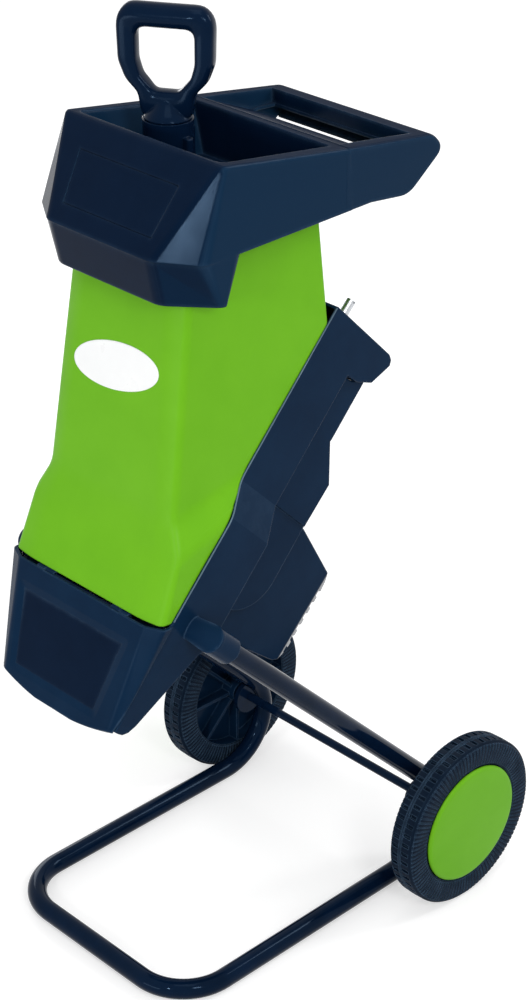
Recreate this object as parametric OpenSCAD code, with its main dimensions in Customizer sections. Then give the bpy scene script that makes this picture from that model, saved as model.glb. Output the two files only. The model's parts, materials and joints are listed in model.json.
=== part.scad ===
// Electric garden shredder: feed hopper and chute hinged over an inclined cutting disc,
// motor behind it, on a bent tube frame with two wheels. Millimetres, Z up, front is -Y.

/* [Frame] */
// Outside diameter of the bent frame tube
tube_d = 22; // [19:0.5:25]
// Wall of the frame tube
tube_wall = 1.5; // [1:0.1:2.5]
// Half distance between the two floor rails
rail_x = 140; // [132:1:148]
// Distance of the front floor bar from the axle
front_reach = 368; // [345:1:390]
// Centre line radius of the two front corners
corner_r = 62; // [50:1:80]
// Centre line radius of the two rear bends
rear_r = 65; // [56:1:70]
// Distance of the axle from the centre of the rear bends
axle_seat = 46.65; // [44:0.05:48]

/* [Wheels] */
// Outside diameter of the tyres
wheel_d = 200; // [180:1:220]
// Width of a tyre
tyre_w = 34; // [26:1:40]
// Distance of the inner face of the right tyre from the middle
right_x = 185; // [165:1:195]
// Distance of the inner face of the left tyre from the middle
left_x = 153; // [153:1:185]
// Diameter of the axle rod
axle_d = 10; // [8:0.5:12]
// Diameter of the coloured hub caps
hubcap_d = 140; // [110:1:150]
// Radial running clearance of wheels, rod and shaft
run_gap = 0.06; // [0.03:0.01:0.1]

/* [Cutting unit] */
// Tilt of the parting plane against the floor
cut_tilt = 45; // [44:0.5:46]
// Position of the disc centre ahead of the axle
cut_y = -284.5; // [-290:0.5:-280]
// Height of the disc centre
cut_z = 524.5; // [520:0.5:530]
// Diameter of the cutting disc
disc_d = 176; // [150:1:180]
// Thickness of the cutting disc
disc_t = 6; // [5:0.5:8]
// Depth of the disc's upper face under the parting plane
disc_n = 8; // [7:0.5:10]
// Depth of the chamber floor under the parting plane
floor_n = 42; // [40:1:46]
// Depth of the pan walls
pan_n = 68; // [66:1:72]
// Wall of the plastic mouldings
wall = 3.5; // [2.5:0.1:4]
// How far the pan walls stand out from the chute
pan_lip = 2; // [0.5:0.5:4]

/* [Chute] */
// Height of the top of the chute above the disc centre
chute_rise = 311.5; // [305:0.5:318]
// Half width of the chute at its top
chute_top_w = 82; // [76:1:86]
// Half width of the chute at the start of the flare
chute_mid_w = 94; // [90:1:98]
// Half width of the chute under the flare
chute_low_w = 110; // [104:1:112]
// Half width of the chute at the hinge
chute_foot_w = 113; // [110:1:116]
// Height of the start of the flare above the disc centre
flare_top_rise = 50.5; // [46:0.5:60]
// Height of the end of the flare above the disc centre
flare_low_rise = 23.5; // [16:0.5:30]
// Drop of the hinge seam under the disc centre
seam_drop = 60.5; // [58:0.5:63]

/* [Hopper] */
// Height of the front rim above the top of the chute
rim_rise = 79; // [70:1:90]
// Fall of the rim towards the handle, degrees
rim_tilt = 8.3; // [6:0.1:10]
// Half width of the hopper at the rim
rim_w = 112; // [106:1:116]
// Half width of the hopper at its belt line
belt_w = 118; // [114:1:122]
// Drop of the belt line under the top of the chute
belt_drop = 9; // [4:1:14]
// Height of the lip under the belt line
lip_drop = 47; // [32:1:57]
// Half width of the hand slot
slot_w = 92; // [85:1:96]

/* [Plunger] */
// Sideways place of the plunger
plunger_x = -32; // [-36:1:-24]
// Place of the plunger behind the disc centre
plunger_back = 77.5; // [72:0.5:84]
// Height of the top of the grip above the ledge in the hopper
grip_rise = 183; // [170:1:200]
// Width of the grip
grip_w = 97; // [90:1:108]
// Thickness of the grip's arms
grip_t = 22; // [18:1:24]
// Diameter of the grip's round bar
bar_d = 26; // [24:1:30]
// Turn of the grip about its stem
grip_turn = 31; // [0:1:45]
// Diameter of the round collar under the grip
collar_d = 50; // [44:1:54]

/* [Motor] */
// Diameter of the motor shaft
shaft_d = 15; // [14:0.5:16]
// Outside diameter of the motor can
can_d = 102; // [98:1:104]
// Diameter of the rotor stack
rotor_d = 56; // [50:1:58]
// Half width of the motor cover
motor_w = 71; // [68:1:74]
// Depth of the end of the motor cover
motor_end_n = 264; // [256:1:272]

/* [Lock and controls] */
// Diameter of the lock screw
lock_d = 11; // [10:0.5:12]
// Sideways place of the lock screw
lock_x = 55; // [50:1:60]
// Stroke of the push buttons
press = 3; // [2:0.5:3.5]
// Half width of the rear cover
cover_w = 83; // [81:1:85]

/* [Hidden] */
$fn = 48;
part_gap = 0.3;
green = [0.42, 0.68, 0.13];
black = [0.09, 0.10, 0.12];
navy = [0.10, 0.12, 0.15];
rubber = [0.06, 0.06, 0.065];
steel = [0.70, 0.71, 0.72];
copper = [0.72, 0.42, 0.22];
axle_z = wheel_d / 2;
tube_r = tube_d / 2;
rear_z = tube_r + rear_r;
rear_bend_y = round(10 * sqrt(pow(axle_seat, 2) - pow(axle_z - rear_z, 2))) / 10;
chute_top_z = cut_z + chute_rise;
flare_top_z = cut_z + flare_top_rise;
flare_low_z = cut_z + flare_low_rise;
seam_z = cut_z - seam_drop;
rim_z = chute_top_z + rim_rise;
belt_z = chute_top_z - belt_drop;
lip_z = belt_z - lip_drop;
rest_z = chute_top_z + 4;
grip_top_z = rest_z + grip_rise;
plunger_y = cut_y + plunger_back;
rim_y = cut_y + 14.5;
leg_top = [-rear_bend_y + rear_r * cos(cut_tilt), rear_z + rear_r * sin(cut_tilt)];
leg_t = t_of(leg_top[0], leg_top[1]);
leg_n0 = 34;
leg_n1 = n_of(leg_top[0], leg_top[1]);
leg_bolt_n = 55;
lug_d = tube_d + 8;
lug_n1 = 63;
sleeve_d = axle_d + 4;
chute_lean = 33.5 / 237;
front_top_y = cut_y - 3.1;
top_fall = 11;
low_fall = 17;
flare_y = cut_y + (flare_top_z - cut_z) / tan(cut_tilt);
front_mid_y = (front_top_y - (chute_top_z - flare_top_z + flare_y * tan(top_fall)) * chute_lean)
    / (1 - tan(top_fall) * chute_lean);
front_low_y = front_mid_y - 9.5;
front_foot_y = front_low_y - 25.5;
rear_top_y = cut_y + 169;
rear_mid_y = cut_y + 186.5;
rear_mid_z = flare_top_z + (rear_mid_y - flare_y) * tan(top_fall);
rear_lean = (rear_top_y - rear_mid_y) / (chute_top_z - rear_mid_z);
back_t = (rear_mid_y + rear_lean * (cut_z - rear_mid_z) - cut_y)
    / (cos(cut_tilt) - rear_lean * sin(cut_tilt));
cowl_t = back_t + 18;
tail_t = t_of(cut_y - 119.5, cut_z - 172.5);
flare_top_t = (flare_top_z - cut_z) / sin(cut_tilt);
flare_low_t = (flare_low_z - cut_z) / sin(cut_tilt);
foot_t = (seam_z - cut_z) / sin(cut_tilt);
foot_half = chute_foot_w + pan_lip;
rod_d = 4;
knuckle_r = 3.6;
hinge_y = front_foot_y - 0.5;
hinge_z = seam_z - knuckle_r - 1;
nose_top_y = front_foot_y - 5;
nose_top_z = seam_z - 2.4;
nose_low_y = cut_y - 125.5;
nose_low_z = cut_z - 184.5;
nose_bow = 13;
tail_in = 26;
hump_a = [162, 108];
hump_b = [126, 143];
hump_c = [74, 143];
bearing_d = 35;
tail_bearing_d = 30;
tail_shaft_d = 10;
can_n0 = floor_n + 8;
can_n1 = 204;
lock_n = 53;
lock_shank_d = lock_d - 3;
fork_t = back_t + 0.3;
fork_s = 2.5;

// Distance along the parting plane and depth under it, from height and place in the part frame
function t_of(y, z) = (y - cut_y) * cos(cut_tilt) + (z - cut_z) * sin(cut_tilt);
function n_of(y, z) = (y - cut_y) * sin(cut_tilt) - (z - cut_z) * cos(cut_tilt);
function mix(a, b, k) = a + (b - a) * k;
function z_on_plane(t) = cut_z + t * sin(cut_tilt);

// Half width of the chute at a height
function chute_half(z) =
    z > flare_top_z
        ? mix(chute_mid_w, chute_top_w, (z - flare_top_z) / (chute_top_z - flare_top_z))
    : z > flare_low_z
        ? mix(chute_low_w, chute_mid_w, (z - flare_low_z) / (flare_top_z - flare_low_z))
        : mix(chute_foot_w, chute_low_w, (z - seam_z) / (flare_low_z - seam_z));

// Plan outline with two chamfered front corners, shrunk by i
function plan(w, wi, yf, cy, yr, i) = [
    [-(w - i), yr - i], [w - i, yr - i], [w - i, yf + cy + i],
    [wi - i / 2, yf + i], [-(wi - i / 2), yf + i], [-(w - i), yf + cy + i]
];
function plan_top(i) = plan(chute_top_w, chute_top_w - 23.5, front_top_y, 6, rear_top_y, i);
function plan_at(z, i) =
    let (k = (chute_top_z - z) / (chute_top_z - flare_top_z))
    plan(
        chute_half(z), mix(chute_top_w - 23.5, chute_mid_w - 16.5, k),
        front_top_y - (chute_top_z - z) * chute_lean, mix(6, 4, k),
        rear_top_y - (chute_top_z - z) * rear_lean, i
    );
function plan_mid(i) = plan(chute_mid_w, chute_mid_w - 16.5, front_mid_y, 4, rear_mid_y, i);
function plan_low(i) = plan(chute_low_w, chute_low_w - 23.5, front_low_y, 4, rear_mid_y, i);
function plan_foot(i) = plan(chute_foot_w, chute_foot_w - 27, front_foot_y, 4, rear_mid_y, i);

// Outline of the pan on the parting plane, shrunk by i
function pan_half(t) = chute_half(z_on_plane(t)) + pan_lip;
function pan_side(t) =
    t < foot_t ? foot_half - tail_in * (foot_t - t) / (foot_t - tail_t) : pan_half(t);
function pan_outline(i, top) = [
    [-(pan_half(top) - i), top], [-(pan_half(flare_top_t) - i), flare_top_t],
    [-(pan_half(flare_low_t) - i), flare_low_t], [-(foot_half - i), foot_t],
    [-(foot_half - tail_in - i), tail_t], [foot_half - tail_in - i, tail_t],
    [foot_half - i, foot_t], [pan_half(flare_low_t) - i, flare_low_t],
    [pan_half(flare_top_t) - i, flare_top_t], [pan_half(top) - i, top]
];

// Frame of the parting plane: y along it, z square to it
module in_cut() {
    translate([0, cut_y, cut_z])
        rotate([cut_tilt, 0, 0])
            children();
}

// Prism over an outline in distance t and depth n, between two x
module tn_prism(pts, x0, x1) {
    in_cut()
        translate([x0, 0, 0])
            rotate([90, 0, 90])
                linear_extrude(height = x1 - x0)
                    polygon([for (p = pts) [p[0], -p[1]]]);
}

// Prism over an outline in x and t, between two depths
module xt_prism(pts, n0, n1) {
    in_cut()
        translate([0, 0, -n1])
            linear_extrude(height = n1 - n0)
                polygon(pts);
}

// Prism over an outline in x and depth, between two t
module xn_prism(pts, t0, t1) {
    in_cut()
        translate([0, t1, 0])
            rotate([90, 0, 0])
                linear_extrude(height = t1 - t0)
                    polygon([for (p = pts) [p[0], -p[1]]]);
}

// Round bar square to the parting plane
module n_bar(n0, n1, d, x = 0, t = 0, facets = 48) {
    in_cut()
        translate([x, t, -n1])
            cylinder(h = n1 - n0, d = d, $fn = facets);
}

// Round bar along the parting plane
module t_bar(t0, t1, d, x, n) {
    in_cut()
        translate([x, t0, -n])
            rotate([-90, 0, 0])
                cylinder(h = t1 - t0, d = d);
}

// Round bar along X at a place in t and n
module x_bar_tn(x0, x1, d, t, n) {
    in_cut()
        translate([x0, t, -n])
            rotate([0, 90, 0])
                cylinder(h = x1 - x0, d = d);
}

// Round bar along X
module x_bar(x0, x1, d, y, z) {
    translate([x0, y, z])
        rotate([0, 90, 0])
            cylinder(h = x1 - x0, d = d);
}

// Outline lifted to a height, and the same with the order of its points turned round
function ring(pts, z) = [for (p = pts) [p[0], p[1], z]];
function turned(pts) = [for (k = [len(pts) - 1 : -1 : 0]) pts[k]];

// Solid through rings of equal length, lowest first, each clockwise seen from above
module stack(rings) {
    n = len(rings[0]);
    m = len(rings);
    polyhedron(
        points = [for (r = rings) for (p = r) p],
        faces = concat(
            [[for (k = [n - 1 : -1 : 0]) k]],
            [for (j = [0 : m - 2]) for (k = [0 : n - 1])
                [j * n + k, j * n + (k + 1) % n, (j + 1) * n + (k + 1) % n]],
            [for (j = [0 : m - 2]) for (k = [0 : n - 1])
                [j * n + k, (j + 1) * n + (k + 1) % n, (j + 1) * n + k]],
            [[for (k = [0 : n - 1]) (m - 1) * n + k]]
        )
    );
}

module both_sides() {
    children();
    mirror([1, 0, 0])
        children();
}

// Frame: half of the floor loop with a rear bend and an inclined leg, radius r
module tube_half(r, more) {
    translate([rail_x, -front_reach + corner_r, tube_r])
        rotate([-90, 0, 0])
            cylinder(h = front_reach - corner_r - rear_bend_y, r = r);
    translate([rail_x - corner_r, -front_reach + corner_r, tube_r])
        rotate([0, 0, -90])
            rotate_extrude(angle = 90)
                translate([corner_r, 0])
                    circle(r = r);
    translate([-1, -front_reach, tube_r])
        rotate([0, 90, 0])
            cylinder(h = rail_x - corner_r + 1, r = r);
    translate([rail_x, -rear_bend_y, rear_z])
        rotate([90, 0, 90])
            rotate([0, 0, -90]) {
                rotate_extrude(angle = 90 + cut_tilt)
                    translate([rear_r, 0])
                        circle(r = r);
                rotate([0, 0, 90 + cut_tilt])
                    translate([rear_r, 0, 0])
                        rotate([-90, 0, 0])
                            cylinder(h = leg_n1 - leg_n0 + more, r = r);
            }
}

module frame_tube() {
    color(black)
        difference() {
            both_sides()
                tube_half(tube_r, 0);
            both_sides()
                tube_half(tube_r - tube_wall, 2);
            both_sides()
                x_bar_tn(rail_x - tube_d, rail_x, 5.4, leg_t, leg_bolt_n);
        }
}

module axle() {
    color(steel)
        x_bar(-left_x - tyre_w + 1, right_x + tyre_w - 1, axle_d, 0, axle_z);
}

// Welded plates that hold the axle inside the rear bends
module axle_tabs() {
    reach = rear_r - tube_r - part_gap / 6;
    color(black)
        both_sides()
            difference() {
                translate([rail_x - 3, 0, 0])
                    rotate([90, 0, 90])
                        linear_extrude(height = 6)
                            intersection() {
                                translate([-rear_bend_y, rear_z])
                                    circle(r = reach);
                                translate([0, axle_z])
                                    circle(r = axle_d / 2 + 16);
                            }
                x_bar(rail_x - 4, rail_x + 4, axle_d, 0, axle_z);
            }
}

// Push-on caps at both axle ends
module axle_caps() {
    color(steel)
        difference() {
            union() {
                x_bar(right_x + tyre_w - 5.7, right_x + tyre_w - 2, axle_d + 9, 0, axle_z);
                x_bar(-left_x - tyre_w + 2, -left_x - tyre_w + 5.7, axle_d + 9, 0, axle_z);
            }
            x_bar(-left_x - tyre_w, right_x + tyre_w, axle_d, 0, axle_z);
        }
}

// Spacer sleeves between frame and wheels, the right one long
module axle_sleeves() {
    color(steel)
        difference() {
            union() {
                x_bar(rail_x + 3, right_x - 1.5, sleeve_d, 0, axle_z);
                x_bar(-left_x + 1.5, -rail_x - 3, sleeve_d, 0, axle_z);
            }
            x_bar(-left_x, right_x, axle_d, 0, axle_z);
        }
}

// Tyre over its inner face at x = 0, axis along X, two staggered rows of tread blocks
module tyre_shape() {
    r = wheel_d / 2;
    h = tyre_w;
    color(rubber)
        translate([0, 0, axle_z])
            rotate([0, 90, 0])
                difference() {
                    rotate_extrude($fn = 96)
                        polygon([
                            [r - 22, 3], [r - 12, 0], [r - 5, 1.5], [r - 1, 6], [r, 10],
                            [r, h / 2 - 2], [r - 2, h / 2 - 1], [r - 2, h / 2 + 1],
                            [r, h / 2 + 2], [r, h - 10], [r - 1, h - 6], [r - 5, h - 1.5],
                            [r - 12, h], [r - 22, h - 3]
                        ]);
                    for (k = [0 : 23])
                        rotate([0, 0, k * 15]) {
                            translate([r - 5, -2.2, -1])
                                cube([10, 4.4, h / 2 - 3]);
                            rotate([0, 0, 7.5])
                                translate([r - 5, -2.2, h / 2 + 4])
                                    cube([10, 4.4, h / 2]);
                        }
                }
}

// Wheel core: rim band, closed web, ribs and hub
module core_shape() {
    r = wheel_d / 2 - 22 - 0.05;
    hub_d = axle_d + 18;
    color(black)
        translate([0, 0, axle_z])
            rotate([0, 90, 0])
                difference() {
                    union() {
                        translate([0, 0, 3])
                            difference() {
                                cylinder(h = tyre_w - 6, r = r, $fn = 96);
                                translate([0, 0, -1])
                                    cylinder(h = tyre_w, r = r - 5, $fn = 96);
                            }
                        translate([0, 0, tyre_w / 2 + 2])
                            cylinder(h = 5, r = r - 2);
                        translate([0, 0, -1.2])
                            cylinder(h = tyre_w - 4.8, d = hub_d);
                        for (k = [0 : 7])
                            rotate([0, 0, k * 45])
                                translate([hub_d / 2 - 2, -2, 6])
                                    cube([r - hub_d / 2, 4, tyre_w - 9]);
                    }
                    translate([0, 0, -2])
                        cylinder(h = tyre_w + 4, d = axle_d + 2 * run_gap);
                }
}

// Coloured cap with a low dome, clipped to the outside of the wheel core
module cap_shape() {
    r = hubcap_d / 2;
    color(green)
        translate([tyre_w - 2.5, 0, axle_z])
            rotate([0, 90, 0])
                rotate_extrude($fn = 72)
                    polygon([
                        [0, 3.5], [r - 14, 3.5], [r - 8, -0.4], [r, -0.4], [r, 2],
                        [r - 1, 3.4], [r - 4, 4.4], [r - 20, 5.4], [0, 6]
                    ]);
}

module right_wheel() {
    translate([right_x, 0, 0])
        children();
}

module left_wheel() {
    translate([-left_x, 0, 0])
        mirror([1, 0, 0])
            children();
}

module tyre_right() {
    right_wheel()
        tyre_shape();
}

module wheel_core_right() {
    right_wheel()
        core_shape();
}

module hubcap_right() {
    right_wheel()
        cap_shape();
}

module tyre_left() {
    left_wheel()
        tyre_shape();
}

module wheel_core_left() {
    left_wheel()
        core_shape();
}

module hubcap_left() {
    left_wheel()
        cap_shape();
}

// Lower moulding: blade chamber, discharge duct, leg sockets and rear cowl with the lock pocket
module pan_shell() {
    side = [
        [cowl_t, 0], [cowl_t, 111], [cowl_t - 3, 118], [cowl_t - 9, 121], [cowl_t - 36, 108],
        [cowl_t - 46, 86], [cowl_t - 47, pan_n], [-88, pan_n], [-98, 62], [tail_t + 14, 59],
        [tail_t + 6, 57], [tail_t + 1, 52], [tail_t, 46], [tail_t, 40], [foot_t - 4, 0]
    ];
    chamber = [
        [back_t - 6, -1], [back_t - 6, floor_n], [-92, floor_n], [-97, 120],
        [tail_t - 60, 120], [tail_t - 60, -60], [foot_t - 4, -1 - wall]
    ];
    pocket = [
        [cowl_t - wall, -1], [cowl_t - wall, 70], [back_t - 2, 70], [back_t - 2, -1]
    ];
    cowl_room = [
        [cowl_t - wall, 74], [cowl_t - wall, 110], [cowl_t - 10, 116.6], [cowl_t - 22, 111],
        [cowl_t - 42, 84], [cowl_t - 42, 74]
    ];
    rear_room = [
        [back_t - 6, floor_n + wall], [back_t - 6, pan_n - wall], [-86, pan_n - wall],
        [-86, floor_n + wall]
    ];
    difference() {
        intersection() {
            tn_prism(side, -150, 150);
            xt_prism(pan_outline(0, cowl_t), -1, 130);
        }
        intersection() {
            union() {
                tn_prism(chamber, -150, 150);
                tn_prism(pocket, -150, 150);
                tn_prism(cowl_room, -150, 150);
                tn_prism(rear_room, -150, 150);
            }
            xt_prism(pan_outline(wall, cowl_t), -80, 130);
        }
        in_cut()
            translate([-64, -70, -pan_n - 1])
                cube([128, 284, pan_n - floor_n - wall]);
        in_cut()
            translate([-60, cowl_t - 41, -80])
                cube([120, 10, 22]);
    }
}

// Socket for one frame leg, joined to the side of the pan by a sloping web
module lug_solid() {
    side_x = pan_side(leg_t);
    n_bar(leg_n0 - 4, lug_n1, lug_d, rail_x, leg_t);
    xn_prism([
        [side_x - wall + 0.5, lug_n1 - 2], [side_x - wall + 0.5, 55], [side_x + 1, 55],
        [rail_x - 6, leg_n0 - 1], [rail_x, leg_n0 - 2], [rail_x, lug_n1 - 2]
    ], leg_t - lug_d / 2 + 3, leg_t + lug_d / 2);
}

module blade_pan() {
    color(black)
        difference() {
            union() {
                pan_shell();
                both_sides()
                    lug_solid();
                n_bar(floor_n + 1, floor_n + 18, bearing_d + 10);
                difference() {
                    n_bar(floor_n + 1, can_n0 + 6, can_d + 7);
                    n_bar(floor_n, can_n0 + 7, can_d);
                }
                t_bar(back_t - 2.5, fork_t - 0.5, 20, lock_x, lock_n);
            }
            both_sides()
                n_bar(leg_n0, lug_n1 + 1, tube_d, rail_x, leg_t);
            both_sides()
                x_bar_tn(pan_side(leg_t) - 8, rail_x, 5.4, leg_t, leg_bolt_n);
            n_bar(floor_n - 1, floor_n + 20, shaft_d + 3);
            n_bar(floor_n + 4, floor_n + 20, bearing_d);
            t_bar(back_t - 10, cowl_t + 2, lock_shank_d + 1, lock_x, lock_n);
            both_sides()
                n_bar(floor_n + 5, pan_n + 2, 4, cover_w - 9, 205);
            both_sides()
                n_bar(floor_n + 5, pan_n + 2, 4, motor_w + 8, -60);
        }
}

// Shallow cover over the front of the discharge duct with a bowed lower edge, carries the hinge ears
module nose_cover() {
    top = plan(foot_half + 2, foot_half - 18, nose_top_y, 9, front_foot_y + 26, 0);
    low = plan(foot_half - tail_in - 2, foot_half - tail_in - 9, nose_low_y, 5,
        nose_low_y + 36, 0);
    top_in = plan(foot_half + 2 - wall, foot_half - 18 - wall / 2, nose_top_y + 2.5, 9,
        front_foot_y + 40, 0);
    low_in = plan(foot_half - tail_in - 2 - wall, foot_half - tail_in - 9 - wall / 2,
        nose_low_y + 2.5, 5, nose_low_y + 60, 0);
    shelf_z = hinge_z - knuckle_r - 3.4;
    bow_r = (pow(foot_half - 25, 2) + pow(nose_bow, 2)) / (2 * nose_bow);
    color(black)
        difference() {
            union() {
                difference() {
                    intersection() {
                        stack([ring(low, nose_low_z), ring(top, nose_top_z)]);
                        n_bar(-80, 80, 2 * bow_r, 0, tail_t - 1 - nose_bow + bow_r, 192);
                    }
                    stack([ring(low_in, nose_low_z - 2), ring(top_in, nose_top_z + 1)]);
                    tn_prism([
                        [foot_t - 4 + part_gap, -40], [foot_t - 4 + part_gap, -part_gap],
                        [tail_t, 40 - part_gap], [tail_t - 40, 52], [tail_t - 40, 200],
                        [200, 200], [200, -40]
                    ], -150, 150);
                }
                translate([-(foot_half - 11), nose_top_y - 2, shelf_z])
                    cube([2 * (foot_half - 11), front_foot_y + 18 - nose_top_y, 2.2]);
                both_sides()
                    hinge_ear();
                both_sides()
                    nose_tongue();
            }
            x_bar(-80, 80, rod_d, hinge_y, hinge_z);
            both_sides()
                x_bar(43.5, 58, 2 * knuckle_r + 1, hinge_y, hinge_z);
            nose_panel();
        }
}

// Clip tongue that reaches behind the side wall of the pan
module nose_tongue() {
    x1 = foot_half - wall - part_gap;
    fall = tail_in / (foot_t - tail_t);
    intersection() {
        tn_prism([[-112, 3], [-112, 24], [-172, 46], [-172, 24]], 0, 150);
        xt_prism([
            [x1 - 3 - fall * (foot_t + 110), -110], [x1 - fall * (foot_t + 110), -110],
            [x1 - fall * (foot_t + 180), -180], [x1 - 3 - fall * (foot_t + 180), -180]
        ], -40, 90);
    }
}

// Sunk panel on the front of the cover
module nose_panel() {
    face = atan2(nose_top_z - nose_low_z, nose_top_y - nose_low_y);
    translate([0, nose_top_y, nose_top_z])
        rotate([face, 0, 0])
            translate([0, 0, -1.4])
                linear_extrude(height = 8)
                    polygon([[-80, -28], [72, -28], [54, -107], [-68, -107]]);
}

module hinge_ear() {
    x_bar(58, 70, 2 * knuckle_r, hinge_y, hinge_z);
    translate([58, nose_top_y + 0.5, hinge_z - knuckle_r])
        cube([12, hinge_y - nose_top_y - 0.5, 2 * knuckle_r - 3]);
}

module hinge_rod() {
    color(steel)
        x_bar(-72, 72, rod_d, hinge_y, hinge_z);
}

// Outline on a plane that falls to the front, level with z on the parting plane
function flare_ring(pts, z, t, fall) =
    [for (p = pts) [p[0], p[1], z + (p[1] - cut_y - t * cos(cut_tilt)) * tan(fall)]];

// Green chute: shell with a sloping flare, cut along the parting plane
module chute_skin(i) {
    over = i > 0 ? 1 : 0;
    stack([
        ring(plan_foot(i), seam_z - over),
        flare_ring(plan_low(i), flare_low_z, flare_low_t, low_fall),
        flare_ring(plan_mid(i), flare_top_z, flare_top_t, top_fall),
        ring(plan_top(i), chute_top_z + over)
    ]);
}

module chute_shell() {
    difference() {
        chute_skin(0);
        chute_skin(wall);
        in_cut()
            translate([-200, -300, -500])
                cube([400, 800, 500 + part_gap]);
    }
}

module chute_body() {
    color(green)
        difference() {
            union() {
                chute_shell();
                both_sides() {
                    x_bar(44, 57.5, 2 * knuckle_r, hinge_y, hinge_z);
                    translate([44, front_foot_y + 1, hinge_z - 1])
                        cube([13.5, 5, seam_z - hinge_z + 4]);
                }
            }
            x_bar(-80, 80, rod_d + 2 * run_gap, hinge_y, hinge_z);
            fork_holes(4.2);
            hopper_holes(4.2);
        }
}

// Screw holes for the hopper and for the latch fork
module hopper_holes(d) {
    for (y = [rim_y + 30, rim_y + 110])
        x_bar(-chute_top_w - 12, chute_top_w + 12, d, y, chute_top_z - 6);
}

module fork_place() {
    z = cut_z + back_t * sin(cut_tilt) + 14;
    y = rear_mid_y + rear_lean * (z - rear_mid_z);
    for (x = [lock_x - 9, lock_x + 9])
        translate([x, y, z])
            rotate([-90 - atan(rear_lean), 0, 0])
                children();
}

module fork_holes(d) {
    fork_place()
        translate([0, 0, -12])
            cylinder(h = 24, d = d);
}

// Blank oval plate on the front of the chute
module label_plate() {
    z = chute_top_z - 145;
    y = front_top_y - (chute_top_z - z) * chute_lean;
    color([0.93, 0.94, 0.94])
        translate([-2, y, z])
            rotate([90 - atan(chute_lean), 0, 0])
                rotate([0, 0, 10])
                    translate([0, 0, 0.1])
                        linear_extrude(height = 1)
                            polygon([
                                for (k = [0 : 47]) [62 * cos(k * 7.5), 24.5 * sin(k * 7.5)]
                            ]);
}

// Steel fork on the chute's back: one leg on the wall, one with an open slot in the pocket
module latch_fork() {
    up = [rear_lean * cos(cut_tilt) + sin(cut_tilt), rear_lean * sin(cut_tilt) - cos(cut_tilt)];
    foot = [fork_t, 0.3];
    out = [-up[1], up[0]] * fork_s;
    color(steel)
        difference() {
            tn_prism([
                [fork_t, lock_n + 10], [fork_t + fork_s, lock_n + 10], [fork_t + fork_s, 0.8],
                foot + up * 24 + out, foot + up * 24, foot
            ], lock_x - 15, lock_x + 15);
            in_cut()
                translate([lock_x - lock_shank_d / 2 - 0.5, fork_t - 5, -lock_n - 20])
                    cube([lock_shank_d + 1, 12, 20 + lock_shank_d / 2 + 0.5]);
            fork_holes(4.4);
        }
}

module fork_screws() {
    color(steel)
        fork_place() {
            translate([0, 0, -8])
                cylinder(h = 12, d = 4);
            translate([0, 0, fork_s + 0.6])
                cylinder(h = 2.4, d = 8);
        }
}

module rim_place() {
    translate([0, rim_y, rim_z])
        rotate([-rim_tilt, 0, 0])
            children();
}

// Outlines of the hopper at the rim, at the belt line and at the lip, shrunk by i
function rim_front(i) = [
    [-rim_w + 2 + i, i], [rim_w - 2 - i, i], [rim_w - i, 3 + i], [rim_w - i, 168 - i],
    [-rim_w + i, 168 - i], [-rim_w + i, 3 + i]
];
function rim_ring(pts, drop) = [
    for (p = pts) [
        p[0], rim_y + p[1] * cos(rim_tilt) - drop * sin(rim_tilt),
        rim_z - p[1] * sin(rim_tilt) - drop * cos(rim_tilt)
    ]
];
function belt(i, back_w, back_y) = [
    [-(belt_w - 44) + i / 2, rim_y - 58 + i], [belt_w - 44 - i / 2, rim_y - 58 + i],
    [belt_w - i, rim_y - 29 + i / 2], [back_w - i, back_y - i], [-back_w + i, back_y - i],
    [-belt_w + i, rim_y - 29 + i / 2]
];
function lip(i) = [
    [-(belt_w - 45) + i / 2, rim_y - 47 + i], [belt_w - 45 - i / 2, rim_y - 47 + i],
    [belt_w - i, rim_y - 8 + i / 2], [belt_w - i, rim_y], [-belt_w + i, rim_y],
    [-belt_w + i, rim_y - 8 + i / 2]
];

module bowl_outside(i, drop) {
    stack([
        ring(turned(belt(i, belt_w - 5, rim_y + 170)), belt_z - (i > 0 ? 1 : 0)),
        rim_ring(turned(rim_front(i)), drop)
    ]);
    stack([
        ring(turned(lip(i)), lip_z - (i > 0 ? 1 : 0)),
        ring(turned(belt(i, belt_w - 0.5, rim_y + 21 + i)), belt_z)
    ]);
}

// Arms and bar of the carrying handle: side outline cut by a tapering plan
module handle_block(i, drop) {
    intersection() {
        translate([-belt_w, 0, 0])
            rotate([90, 0, 90])
                linear_extrude(height = 2 * belt_w)
                    polygon([
                        [rim_y + 162, rim_z - 23.5 - drop], [rim_y + 290 - i, rim_z - 41 - drop],
                        [rim_y + 302 - i, rim_z - 53], [rim_y + 301 - i, rim_z - 63],
                        [rim_y + 254 - i / 2, belt_z - 8 - i], [rim_y + 198, belt_z - i],
                        [rim_y + 162, belt_z - i]
                    ]);
        translate([0, 0, rim_z - 215])
            linear_extrude(height = 300)
                polygon([
                    [-(belt_w - 5) + i, rim_y + 161], [belt_w - 5 - i, rim_y + 161],
                    [belt_w - 9 - i, rim_y + 310], [-(belt_w - 9) + i, rim_y + 310]
                ]);
    }
}

// Sunk bridge between bowl and hand slot, grown by i
module bridge_recess(i) {
    w = slot_w + 5 + i;
    translate([-w, 0, 0])
        rotate([90, 0, 90])
            linear_extrude(height = 2 * w)
                polygon([
                    [rim_y + 167, rim_z - 25 - i], [rim_y + 234, rim_z - 53 - i],
                    [rim_y + 267 + i, rim_z - 53 - i], [rim_y + 267 + i, rim_z - 5],
                    [rim_y + 167, rim_z - 5]
                ]);
}

module slot_shape(i) {
    translate([0, rim_y, rim_z - 215])
        linear_extrude(height = 300)
            polygon([
                [-slot_w - i, 234 - i], [slot_w + i, 234 - i], [slot_w + 3 + i, 244],
                [slot_w + i, 266 + i], [-slot_w - i, 266 + i], [-slot_w - 3 - i, 244]
            ]);
}

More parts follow.
